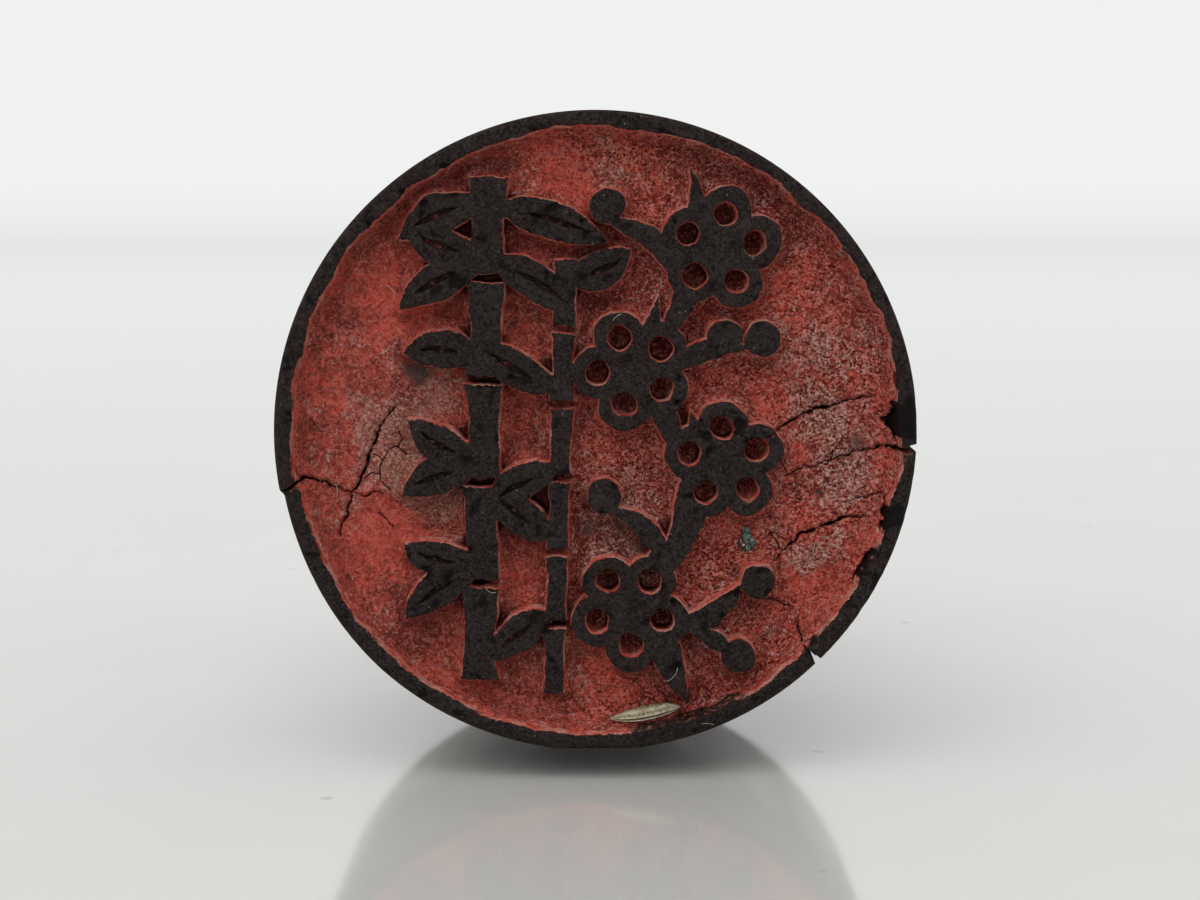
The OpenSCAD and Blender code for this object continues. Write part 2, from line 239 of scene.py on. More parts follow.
class CarvedFace:
    """Where the printing face is, and the outlines that the CAD solids give it."""

    def __init__(self):
        low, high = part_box("printing_block")
        self.radius = (high.x - low.x) / 2 / MM
        self.length = (high.y - low.y) / MM
        self.front = low.y
        self.axis = high.z - self.radius * MM
        self.flat = self.radius - self.axis / MM
        self.ground = (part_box("ink_paste")[1].y - self.front) / MM
        self.bed = (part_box("ink_pockets")[0].y - self.front) / MM
        self.depths = self.flat_depths("printing_block")
        self.tops = self.outlines("printing_block", 0.0)
        self.veins = self.outlines("printing_block", self.depths[1])
        splits = self.outlines("printing_block", self.depths[-1])
        self.cracks = split_wood([resampled(loop, 0.05) for loop in splits])
        # Only splits and the drum's own edge lie past this radius.
        self.rim_outer = self.radius - 0.4
        sample_step = 0.03
        edge = np.concatenate([resampled(loop, sample_step) for loop in self.tops])
        edge = edge[radius_of(edge) < self.rim_outer]
        self.walls = Nearest(edge)
        self.splits = Nearest(np.concatenate([resampled(loop, sample_step) for loop in self.cracks]))
        self.shade = self.shade_map()
        self.recess = max(radius_of(loop).max() for loop in self.beds("ink_paste"))
        low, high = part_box("husk_flake")
        self.flake_middle = np.array(((low.x + high.x) / 2 / MM, ((low.z + high.z) / 2 - self.axis) / MM))
        self.flake_out = self.flake_middle / np.linalg.norm(self.flake_middle)
        self.flake_along = np.array((-self.flake_out[1], self.flake_out[0]))
        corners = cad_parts["husk_flake"].data.vertices
        flake = self.to_face(np.array([vertex.co for vertex in corners]))
        self.flake_length = np.ptp(flake[:, :2] @ self.flake_along)
        self.flake_width = np.ptp(flake[:, :2] @ self.flake_out)
        self.flake_seat = -flake[:, 2].min()
        self.flake_height = np.ptp(flake[:, 2])

    def to_face(self, co):
        """Places in the world, in metres, as u, v and w on the face in mm."""
        return np.stack((co[:, 0] / MM, (co[:, 2] - self.axis) / MM, (self.front - co[:, 1]) / MM), axis=1)

    def to_world(self, u, v, w):
        return np.stack((u * MM, self.front - w * MM, self.axis + v * MM), axis=1)

    def reach(self, turn):
        """Radius of the drum's outline at angles in radians, with the worn flat below."""
        down = np.sin(turn)
        flat = (self.radius - self.flat) / np.maximum(-down, 0.5)
        return np.where(down < -0.9, np.minimum(self.radius, flat), self.radius)

    def front_flats(self, node, facing=1):
        """Corners of a node's triangles that face straight out of the printing plane, or into it."""
        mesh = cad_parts[node].data
        co = np.empty(len(mesh.vertices) * 3)
        mesh.vertices.foreach_get("co", co)
        mesh.calc_loop_triangles()
        corner = np.empty(len(mesh.loop_triangles) * 3, np.int64)
        mesh.loop_triangles.foreach_get("vertices", corner)
        corners = self.to_face(co.reshape(-1, 3))[corner.reshape(-1, 3)]
        normal = np.cross(corners[:, 1] - corners[:, 0], corners[:, 2] - corners[:, 0])
        size = np.linalg.norm(normal, axis=1)
        return corners[(size > 1e-9) & (normal[:, 2] * facing > 0.999 * size)]

    def flat_depths(self, node):
        """Depths of a node's flats in its front half, from the printing plane inwards."""
        depths = np.unique(np.round(-self.front_flats(node)[:, 0, 2], 2))
        return [d for d in depths if d < self.length / 2]

    def beds(self, node):
        """Outlines of the ground that a bed of paste covers."""
        return [loop[::-1] for loop in self.outlines(node, self.ground, -1)]

    def outlines(self, node, depth, facing=1):
        """Closed outlines of a node's flats at a depth below the printing plane."""
        corners = self.front_flats(node, facing)
        corners = corners[np.all(np.abs(corners[:, :, 2] + depth) < 0.01, axis=1)]
        keys_per_mm = 1e4
        keys = np.round(corners[:, :, :2] * keys_per_mm).astype(np.int64)
        edges = set()
        for corner in keys.tolist():
            a, b, c = (tuple(p) for p in corner)
            for p, q in ((a, b), (b, c), (c, a)):
                if (q, p) in edges:
                    edges.remove((q, p))
                else:
                    edges.add((p, q))
        following = {}
        for p, q in sorted(edges):
            following.setdefault(p, []).append(q)
        loops = []
        while following:
            start = min(following)
            loop = [start]
            here = following[start].pop()
            while here != start:
                loop.append(here)
                here = following[here].pop()
            for p in loop:
                if p in following and not following[p]:
                    del following[p]
            loops.append(np.array(loop) / keys_per_mm)
        return loops

    def shade_map(self):
        """How far each place on the face is closed in by standing wood, on a coarse grid."""
        step = 0.15
        axis = np.arange(-self.radius - 1.0, self.radius + 1.0, step)
        u, v = np.meshgrid(axis, axis)
        places = np.stack((u.ravel(), v.ravel()), axis=1)
        standing = within(places, self.tops).reshape(u.shape).astype(float)
        reach = int(1.6 / step)
        bell = np.exp(-0.5 * (np.arange(-reach, reach + 1) * step / 0.7) ** 2)
        bell /= bell.sum()
        for turn in (0, 1):
            standing = np.apply_along_axis(lambda row: np.convolve(row, bell, mode="same"), turn, standing)
        return axis, step, standing

    def enclosed(self, points):
        axis, step, standing = self.shade
        place = np.clip((points - axis[0]) / step, 0, len(axis) - 1.001)
        cell = place.astype(int)
        part = place - cell
        value = np.zeros(len(points))
        for du in (0, 1):
            for dv in (0, 1):
                share = np.abs(1 - du - part[:, 0]) * np.abs(1 - dv - part[:, 1])
                value += share * standing[cell[:, 1] + dv, cell[:, 0] + du]
        return value

    def chewed(self, angle):
        """Share of the ragged stretch of the rim, at angles in degrees."""
        return smooth(-52, -46, angle) * smooth(9, 5, angle)

    def slipped(self, points):
        """How far the rim has sprung inwards beside the left split, in mm."""
        turn = angle_of(points) % 360.0
        return 0.18 * smooth(190.0, 191.2, turn) * smooth(232.0, 192.0, turn)

    def bitten(self, points):
        """How far the paste has broken away from the rim, in mm."""
        turn = angle_of(points) + 2.0 * wobble(points, 0.8, 17, 3)
        depths = sum(depth * np.exp(-((turn - middle) / spread) ** 2) for middle, spread, depth in BITES)
        return depths * np.clip(1.0 + 0.8 * wobble(points, 0.6, 18, 3), 0.2, 1.8)

    def hand_cut(self, points):
        """Moves places on the face by the small unevenness of hand carving."""
        r = radius_of(points)
        hold = np.clip((self.rim_outer + 0.1 - r) / 0.4, 0.0, 1.0)
        at_rim = smooth(self.radius - 3.0, self.radius - 1.4, r)
        moved = np.empty_like(points)
        for k in (0, 1):
            push = 0.11 * wobble(points, 1.5, 3 + k) + 0.065 * wobble(points, 0.6, 7 + k)
            push += 0.022 * wobble(points, 0.26, 9 + k)
            push += at_rim * (0.10 * wobble(points, 2.6, 11 + k) + 0.06 * wobble(points, 0.9, 13 + k))
            moved[:, k] = points[:, k] + hold * push
        angle = angle_of(points)
        ragged = self.chewed(angle) * wobble(points, 1.3, 15, 3) * 0.08
        narrow = 0.14 * smooth(10, 24, angle) * smooth(76, 60, angle)
        narrow = narrow + 0.2 * np.exp(-((angle + 6) / 3.5) ** 2)
        sprung = (0.05 + narrow - ragged) * at_rim * hold
        sprung -= self.slipped(points) * smooth(self.radius - 2.0, self.radius - 0.9, r)
        return moved * (1.0 + sprung / np.maximum(r, 1.0))[:, None]


def lattice(radius, pitch, seed):
    """Uneven triangular lattice of points that fills a disc."""
    chance = np.random.default_rng(seed)
    rows = np.arange(-radius, radius, pitch * math.sqrt(3) / 2)
    points = []
    for k, v in enumerate(rows):
        u = np.arange(-radius, radius, pitch) + (k % 2) * pitch / 2
        points.append(np.stack((u, np.full_like(u, v)), axis=1))
    points = np.concatenate(points)
    points += chance.uniform(-0.25, 0.25, points.shape) * pitch
    return points[radius_of(points) < radius]


def beside(loops, offsets, nearest):
    """Rows of points on both sides of outlines, left out where another outline is nearer."""
    rows = [np.empty((0, 2))]
    for loop in loops:
        across = sideways(loop)
        for offset in offsets:
            for side in (-1, 1):
                row = loop + across * offset * side
                rows.append(row[nearest.distance(row) > 0.9 * offset])
    return np.concatenate(rows)


def knit(loops, lines, points):
    """Places and triangles of a net over points, with closed outlines and open lines as fixed edges."""
    places = np.concatenate(list(loops) + list(lines) + [points])
    edges = []
    start = 0
    for loop in loops:
        n = len(loop)
        edges.extend((start + k, start + (k + 1) % n) for k in range(n))
        start += n
    for line in lines:
        edges.extend((start + k, start + k + 1) for k in range(len(line) - 1))
        start += len(line)
    out = delaunay_2d_cdt([Vector(p) for p in places], edges, [], 0, 1e-5)
    return np.array([(p.x, p.y) for p in out[0]]), np.array(out[2], np.int64)


def opposites(places, toward, chosen):
    """For each chosen point, the nearest point that faces it across a gap, or -1."""
    tree = planted(places)
    found = np.full(len(places), -1)
    for i in np.flatnonzero(chosen):
        nearest = None
        for _, j, away in tree.find_range((*places[i], 0.0), 0.6):
            ahead = (places[j] - places[i]) @ toward[i]
            if ahead > 0.02 and toward[i] @ toward[j] < -0.4 and (nearest is None or away < nearest):
                nearest = away
                found[i] = j
    return found


def parted(places, loops):
    """Joined outlines, cut up again as they were."""
    return np.split(places, np.cumsum([len(loop) for loop in loops])[:-1])


def split_wood(loops):
    """The cracks' outlines in the wood, drawn in to the fine splits that old wood has."""
    places = np.concatenate(loops)
    inward = np.concatenate([sideways(loop) for loop in loops])
    across = opposites(places, inward, np.ones(len(places), bool))
    angle = angle_of(places)
    shut = np.where(np.abs(angle) > 150, 0.70, 0.34) + 0.15 * wobble(places, 0.3, 58)
    moved = places + np.where(across >= 0, shut, 0.0)[:, None] * 0.5 * (places[across] - places)
    return parted(moved, loops)


def pinched(loops):
    """Draws the two sides of each drying crack together, and roughens the paste's free edges."""
    places = np.concatenate(loops)
    outward = np.concatenate([-sideways(loop) for loop in loops])
    free = face.walls.distance(places) > 0.03
    across = opposites(places, outward, free)
    angle = angle_of(places)
    upper = (places[:, 0] > 0) & (places[:, 1] > -0.9 + 0.35 * (places[:, 0] - 8.7))
    shut = np.where(np.abs(angle) > 150, 0.74, np.where(upper, 0.80, 0.60))
    pull = np.clip(shut + 0.3 * wobble(places, 0.24, 51) + 0.25 * wobble(places, 0.09, 52), 0.15, 0.95)
    jog = [0.14 * wobble(places, 0.5, 55 + k) + 0.08 * wobble(places, 0.22, 57 + k) for k in (0, 1)]
    jog = np.stack(jog, axis=1)
    left = face.bitten(places)
    left = left * (1.0 + 0.5 * wobble(places, 0.3, 53, 2)) + 0.05 * np.abs(wobble(places, 0.5, 54, 2))
    push = face.recess - 0.02 - left - radius_of(places)
    moved = places.copy()
    crack = across >= 0
    moved[crack] += (places[across[crack]] - places[crack]) * 0.5 * pull[crack, None] + jog[crack]
    edge = free & ~crack
    moved[edge] += outward[edge] * push[edge, None]
    return parted(moved, loops)


def new_mesh(name, co, faces, attributes=None, edges=()):
    """A mesh with a number for each point under every attribute's name."""
    mesh = bpy.data.meshes.new(name)
    mesh.from_pydata(co.tolist(), list(edges), faces)
    for key, values in (attributes or {}).items():
        layer = mesh.attributes.new(key, "FLOAT", "POINT")
        layer.data.foreach_set("value", np.asarray(values, np.float32))
    return mesh


def new_piece(name, mesh, material, nodes=()):
    """Adds a finished piece that stays with the stamp."""
    piece = bpy.data.objects.new(name, mesh)
    bpy.context.scene.collection.objects.link(piece)
    mesh.materials.clear()
    mesh.materials.append(material)
    mesh.shade_smooth()
    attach(piece, "root")
    if nodes:
        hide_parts(*nodes)
    return piece


def ranked(parts, places):
    """Puts the points or faces of a mesh in the order of their places."""
    parts.index_update()
    rank = np.argsort(np.lexsort(np.array(places).T)).tolist()
    parts.sort(key=lambda part: rank[part.index])


def mended(mesh, bottom=None):
    """Drops stray points, closes an open sheet down to the given Y, and turns every face outwards."""
    bm = bmesh.new()
    bm.from_mesh(mesh)
    bmesh.ops.delete(bm, geom=[v for v in bm.verts if not v.link_faces], context="VERTS")
    if bottom is not None:
        made = bmesh.ops.extrude_edge_only(bm, edges=[e for e in bm.edges if e.is_boundary])["geom"]
        for vert in (g for g in made if isinstance(g, bmesh.types.BMVert)):
            vert.co.y = bottom
        lower = [g for g in made if isinstance(g, bmesh.types.BMEdge) and g.is_boundary]
        bmesh.ops.triangle_fill(bm, use_beauty=False, use_dissolve=False, edges=lower)
        # These operators add points and faces in an order that differs from run to run
        ranked(bm.verts, [v.co for v in bm.verts])
        ranked(bm.faces, [f.calc_center_median() for f in bm.faces])
    bmesh.ops.recalc_face_normals(bm, faces=bm.faces)
    bm.to_mesh(mesh)
    bm.free()


class Value:
    """A number socket in a node tree; arithmetic on it adds Math nodes."""

    def __init__(self, graph, socket):
        self.graph = graph
        self.socket = socket

    def math(self, operation, first, second=0.0, clamp=False):
        sockets = {0: first, 1: second}
        return self.graph.node("ShaderNodeMath", sockets, operation=operation, use_clamp=clamp)[0]

    def __add__(self, other):
        return self.math("ADD", self, other)

    __radd__ = __add__

    def __sub__(self, other):
        return self.math("SUBTRACT", self, other)

    def __rsub__(self, other):
        return self.math("SUBTRACT", other, self)

    def __mul__(self, other):
        return self.math("MULTIPLY", self, other)

    __rmul__ = __mul__

    def __truediv__(self, other):
        return self.math("DIVIDE", self, other)

    def __pow__(self, other):
        return self.math("POWER", self, other)

    def sin(self):
        return self.math("SINE", self)

    def cos(self):
        return self.math("COSINE", self)

    def clamped(self):
        return self.math("ADD", self, 0.0, clamp=True)

    def swing(self, amount):
        """Noise round 0.5, made to swing round 0 by the given amount."""
        return (self - 0.5) * amount

    def between(self, low, high):
        """0 at low, 1 at high, and smooth in between."""
        sockets = {"Value": self, "From Min": low, "From Max": high}
        return self.graph.node("ShaderNodeMapRange", sockets, interpolation_type="SMOOTHSTEP")["Result"]


class Outputs:
    """A node's outputs, by name or place."""

    def __init__(self, graph, made):
        self.graph = graph
        self.made = made

    def __getitem__(self, key):
        return Value(self.graph, self.made.outputs[key])


class Graph:
    """A node tree under construction."""

    def node(self, kind, sockets=None, **settings):
        """Adds a node, makes its settings, then fills or links its sockets."""
        made = self.tree.nodes.new(kind)
        for key, value in settings.items():
            setattr(made, key, value)
        for key, value in (sockets or {}).items():
            socket = made.inputs[key]
            if isinstance(value, Value):
                self.tree.links.new(value.socket, socket)
            elif socket.type == "RGBA" and len(value) == 3:
                socket.default_value = (*value, 1.0)
            else:
                socket.default_value = value
        return Outputs(self, made)

    def mix(self, share, first, second, blend="MIX"):
        """Mixes two colours."""
        sockets = {0: share, 6: first, 7: second}
        return self.node("ShaderNodeMix", sockets, data_type="RGBA", blend_type=blend)[2]

    def vector(self, operation, *values):
        return self.node("ShaderNodeVectorMath", dict(enumerate(values)), operation=operation)["Vector"]

    def axes(self, vector):
        """A vector's parts, named X, Y and Z."""
        return self.node("ShaderNodeSeparateXYZ", {0: vector})

    def joined(self, x, y, z):
        return self.node("ShaderNodeCombineXYZ", {0: x, 1: y, 2: z})["Vector"]


class Paint(Graph):
    """A material under construction."""

    def __init__(self, name):
        self.material = bpy.data.materials.new(name)
        self.material.use_nodes = True
        self.tree = self.material.node_tree
        self.tree.nodes.clear()
        self.place = self.node("ShaderNodeTexCoord")["Object"]

    def scaled(self, factors):
        """The place on the piece in mm, times a factor for each axis."""
        return self.vector("MULTIPLY", self.place, tuple(f / MM for f in factors))

    def noise(self, size, detail=2.0, rough=0.55, stretch=(1, 1, 1), twist=0.0):
        """Noise around 0.5 with features of about the given size in mm."""
        return self.node("ShaderNodeTexNoise", {
            "Vector": self.scaled(tuple(1.0 / (size * s) for s in stretch)),
            "Scale": 1.0, "Detail": detail, "Roughness": rough, "Distortion": twist,
        })["Fac"]

    def cells(self, size, warp=0.0, feature="F1"):
        """Cells about the given size in mm, with distances in that size and borders bent by warp."""
        place = self.scaled((1.0 / size,) * 3)
        if warp:
            bend = self.node("ShaderNodeTexNoise", {"Vector": place, "Scale": 1.3, "Detail": 3.0})["Color"]
            place = self.vector("MULTIPLY_ADD", bend, (warp,) * 3, place)
        return self.node("ShaderNodeTexVoronoi", {"Vector": place, "Scale": 1.0}, feature=feature)

    def shades(self, size, warp=0.0):
        """An even random number for each cell."""
        return self.node("ShaderNodeSeparateColor", {0: self.cells(size, warp)["Color"]})["Red"]

    def attribute(self, name):
        """A number that the mesh stores for each point."""
        return self.node("ShaderNodeAttribute", attribute_name=name)["Fac"]

    def lay(self, share, tint, blend="MIX"):
        """Lays a colour over the paint so far."""
        self.colour = self.mix(share, self.colour, tint, blend)

    def bump(self, height, strength, distance, under=None):
        """A bumpy normal, up to a distance in mm high, on top of another one."""
        sockets = {"Height": height, "Strength": strength, "Distance": distance * MM}
        if under is not None:
            sockets["Normal"] = under
        return self.node("ShaderNodeBump", sockets)["Normal"]

    def finish(self, **sockets):
        """Ends the paint in a shader whose sockets take these values."""
        named = {"Base Color": self.colour}
        for key, value in sockets.items():
            named[key.replace("_", " ").title().replace("Ior", "IOR")] = value
        shader = self.node("ShaderNodeBsdfPrincipled", named)["BSDF"]
        self.node("ShaderNodeOutputMaterial", {"Surface": shader})
        return self.material


class Growth(Graph):
    """A Geometry Nodes tree under construction, with named inputs for its sizes."""

    def __init__(self, name, inputs):
        self.name = name
        self.tree = bpy.data.node_groups.new(name, "GeometryNodeTree")
        sockets = self.tree.interface
        sockets.new_socket("Geometry", in_out="INPUT", socket_type="NodeSocketGeometry")
        self.values = {}
        for label, kind, value in inputs:
            made = sockets.new_socket(label, in_out="INPUT", socket_type="NodeSocket" + kind)
            self.values[made.identifier] = value
        sockets.new_socket("Geometry", in_out="OUTPUT", socket_type="NodeSocketGeometry")
        self.given = self.node("NodeGroupInput")

    def stored(self, name):
        """A number that the starting mesh stores for each point."""
        return self.node("GeometryNodeInputNamedAttribute", {"Name": name}, data_type="FLOAT")["Attribute"]

    def chance(self, seed):
        """A random number from 0 to 1."""
        return self.node("FunctionNodeRandomValue", {"Seed": seed}, data_type="FLOAT")[1]

    def chances(self, seed, low, high):
        """A random vector between two others."""
        sockets = {0: low, 1: high, "Seed": seed}
        return self.node("FunctionNodeRandomValue", sockets, data_type="FLOAT_VECTOR")[0]

    def grown(self, geometry, material, mesh):
        """Ends the tree, and gives the plain mesh that it makes from a starting mesh."""
        whole = self.node("GeometryNodeRealizeInstances", {"Geometry": geometry})[0]
        painted = self.node("GeometryNodeSetMaterial", {"Geometry": whole, "Material": material})[0]
        self.node("NodeGroupOutput", {0: painted})
        holder = bpy.data.objects.new(self.name, mesh)
        bpy.context.scene.collection.objects.link(holder)
        modifier = holder.modifiers.new(self.name, "NODES")
        modifier.node_group = self.tree
        for identifier, value in self.values.items():
            modifier[identifier] = value
        seen = holder.evaluated_get(bpy.context.evaluated_depsgraph_get())
        result = bpy.data.meshes.new_from_object(seen)
        holder.modifiers.clear()
        bpy.data.objects.remove(holder)
        return result


def tint(name, text, value):
    """A colour setting."""
    return FloatVectorProperty(name=name, description=text, subtype="COLOR", default=value, min=0, max=1)


def number(name, text, value, low, high, subtype="NONE"):
    """A setting with a number."""
    return FloatProperty(name=name, description=text, default=value, min=low, max=high, subtype=subtype)


class SEAL_PG_wood(bpy.types.PropertyGroup):
    """Sizes and colours of the carved block and the grip."""

    dark: tint("Stained wood", "Colour of the ink-darkened wood", (0.0178, 0.0122, 0.0114))
    brown: tint("Worn wood", "Colour where the dark stain is rubbed thin", (0.036, 0.022, 0.016))
    shaded: tint("Dark grain", "Colour of the late grain behind the inked end", (0.030, 0.0165, 0.0108))
    handled: tint("Handled wood", "Colour of the open grain behind the inked end", (0.082, 0.044, 0.026))
    rubbed: tint("Rubbed wood", "Colour where hands have rubbed the wood pale", (0.120, 0.068, 0.040))
    wall_spread: number("Wall spread", "How far carved walls lean out at the foot, in mm", 0.20, 0.05, 0.4)
    edge_round: number("Edge rounding", "Width of the rounding along carved edges, in mm", 0.08, 0.02, 0.4)
    neck: number("Neck", "Radius of the grip's neck, in mm", 5.8, 2, 12)
    cove: number("Cove", "Radius of the hollow below the knob, in mm", 6.0, 2, 12)
    crease: number("Crease", "How far the hollow cuts into the knob, in mm", 0.8, 0, 2)
    collar: number("Collar", "Radius of the collar's bead, in mm", 8.5, 4, 14)
    collar_height: number("Collar height", "Height of the collar's bead, in mm", 2.2, 0.5, 6)
    tenon: number("Tenon", "Radius of the tenon in the block, in mm", 5.0, 2, 8)
    turns: IntProperty(
        name="Turning segments", description="Segments round the turned grip", default=180, min=48, max=320,
    )


class SEAL_PG_paste(bpy.types.PropertyGroup):
    """Sizes and colours of the dried ink paste."""

    red: tint("Paste red", "Main colour of the dried paste", (0.280, 0.051, 0.0370))
    fresh: tint("Fresh red", "Colour where the paste is freshly broken or thick", (0.45, 0.068, 0.047))
    # Maroon is also the colour of painted shade where the paste is closed in or shaded.
    maroon: tint("Soaked maroon", "Colour where old ink has soaked in", (0.108, 0.0215, 0.0180))
    dust: tint("Dusty pink", "Colour where dust has settled on the paste", (0.268, 0.116, 0.094))
    # Salmon is also a painted highlight along the carved edges.
    salmon: tint("Salmon", "Colour of the thin paste along carved edges", (0.55, 0.160, 0.112))
    lumps: number("Lumps", "Height of the caked lumps, in mm", 0.11, 0, 0.3)
    creep: number("Creep", "How far the paste has crept up the carved walls, in mm", 0.85, 0, 1.6)
    crumbs: number("Crumbs", "Loose crumbs and dust specks on each square millimetre", 5.0, 0, 12)


class SEAL_PG_stage(bpy.types.PropertyGroup):
    """Table, light and camera."""

    table: tint("Table", "Colour of the table top", (0.78, 0.777, 0.750))
    glaze: number("Glaze", "Depth of the mirroring layer in the table's clear top, in mm", 1.0, 0, 5)
    paint: number("Paint", "Depth of the white paint under the table's clear top, in mm", 1.6, 0, 5)
    gloss: number("Table roughness", "Roughness of the table top", 0.08, 0, 1, "FACTOR")
    focal: number("Focal length", "Focal length in the photograph's pixels", 2400.0, 900, 6000, "PIXEL")


SETTINGS = (("seal_wood", SEAL_PG_wood), ("seal_paste", SEAL_PG_paste), ("seal_stage", SEAL_PG_stage))


def wood_paint(settings, paste):
    """Inked end grain on the face, handled long grain behind it, and paste left on the carved walls, with
    painted shade in dents, deep pockets and cracks.
    """
    p = Paint("stained_wood")
    fibre = p.noise(0.09, 3.0, 0.6, stretch=(1, 30, 1))
    bands = p.noise(1.3, 3.0, 0.6, stretch=(1, 24, 1))
    cloud = p.noise(3.0, 3.0, 0.55, stretch=(1, 3, 1))
    pores = p.noise(0.14, 1.0, 0.5, stretch=(1, 16, 1))
    mottle = p.noise(0.34, 4.0, 0.65)
    behind = p.axes(p.scaled((1, 1, 1)))["Y"] - face.front / MM
    inked = (behind + cloud.swing(16.0) + fibre.swing(8.0)).between(17.0, 4.0)
    # Browner where worn. Beside the husk the brown is partly painted light on the lower rim's upward-facing
    # inner wall.
    wear_and_lit_slope = p.attribute("wear_and_lit_slope")
    worn = cloud.swing(0.6) + fibre.swing(0.5) + mottle.swing(0.9) + wear_and_lit_slope * 0.8 + 0.2
    stained = p.mix(worn.between(0.2, 1.0), settings.dark, settings.brown)
    grain = bands * 0.55 + fibre * 0.45
    bare_wood = p.mix(grain.between(0.40, 0.60), settings.shaded, settings.handled)
    bare_wood = p.mix((cloud + wear_and_lit_slope * 0.2).between(0.50, 0.72) * 0.5, bare_wood, settings.rubbed)
    p.colour = p.mix(inked, bare_wood, stained)
    dull = p.noise(1.7, 4.0, 0.6).between(0.48, 0.62) * 0.35
    p.lay(dull * inked, (0.031, 0.024, 0.023))
    specks = p.shades(0.10, 0.3) * 0.7 + mottle * 0.3
    p.lay(specks.between(0.55, 0.95) * inked * 0.8, (0.036, 0.031, 0.030))
    p.lay(specks.between(0.45, 0.12) * inked * 0.8, (0.004, 0.003, 0.003))
    # Random dark smudges, plus painted shade that darkens the dents in the relief tops almost to black.
    smudge_and_dent_shade = p.noise(0.75, 5.0, 0.65, twist=0.4).between(0.58, 0.64) + p.attribute("dent")
    p.lay(smudge_and_dent_shade.clamped() * 0.85, (0.0035, 0.0024, 0.0022))
    p.lay(pores.between(0.58, 0.68) * 0.75, (0.0045, 0.004, 0.0038))
    lint = p.cells(0.42)["Distance"].between(0.085, 0.045) * p.noise(1.1, 2.0).between(0.56, 0.64) * inked
    p.lay(lint * 0.65, (0.30, 0.28, 0.26))

    depth = p.attribute("depth")
    bare = p.attribute("bare")
    ragged = p.noise(0.30, 3.0, 0.6)
    grit = p.noise(0.11, 2.0, 0.7).between(0.38, 0.64)
    on = (depth + ragged.swing(0.22)).between(0.06, 0.15)
    on = on * (1.0 - (bare + ragged.swing(1.2)).between(0.3, 0.6))
    on = on * (1.0 - p.noise(1.1, 4.0, 0.6).between(0.55, 0.61) * depth.between(0.7, 0.3) * 0.85)
    # Paste on the carved walls in fresh red, salmon and pale pink: partly the paste's own colour, partly
    # painted highlight along the edges.
    wall = p.mix(p.noise(0.5, 2.0).between(0.40, 0.62), paste.fresh, paste.salmon)
    wall = p.mix(p.noise(0.22, 3.0).between(0.47, 0.62) * 0.7, wall, paste.red)
    wall = p.mix(p.noise(0.9, 3.0, 0.6).between(0.47, 0.58) * 0.75, wall, (0.45, 0.235, 0.195))
    wall = p.mix(1.0, wall, 0.6 + grit * 0.8, "MULTIPLY")
    # Painted shade: paste on the walls of deep, closed-in pockets is darkened to near black.
    pocket_shade = (p.attribute("pocket_shade") + ragged.swing(0.6)).between(0.25, 0.8)
    wall = p.mix(pocket_shade, wall, (0.030, 0.0075, 0.0065))
    p.lay(on, wall)
    # Bare wood where the paste broke away is darkened almost to black.
    bare_darkening = bare.between(0.5, 0.9) * (1.0 - on)
    p.lay(bare_darkening * 0.85, (0.004, 0.0034, 0.0032))
    rust = (p.attribute("rust") + ragged.swing(2.0) + grit.swing(0.4)).between(0.45, 0.9)
    p.lay(rust * 0.75, (0.105, 0.052, 0.025))
    # Painted shade: the wood inside the cracks is darkened almost to black.
    p.lay(p.attribute("crack").between(0.3, 0.8), (0.005, 0.0025, 0.0025))

    rough = 0.42 + inked * 0.16 + fibre.swing(0.25) + mottle.swing(0.2) + on * 0.2
    sheen = (1.0 - inked) * cloud.between(0.30, 0.62) * 0.5
    relief = p.bump(fibre + pores * 0.6, 0.4, 0.05)
    relief = p.bump(mottle, 0.3, 0.08, relief)
    relief = p.bump(p.noise(0.8, 2.0, 0.5, stretch=(1, 4, 1)), 0.25, 0.12, relief)
    return p.finish(
        roughness=rough.clamped(), normal=relief, specular_ior_level=0.07,
        coat_weight=sheen.clamped(), coat_roughness=0.3,
    )


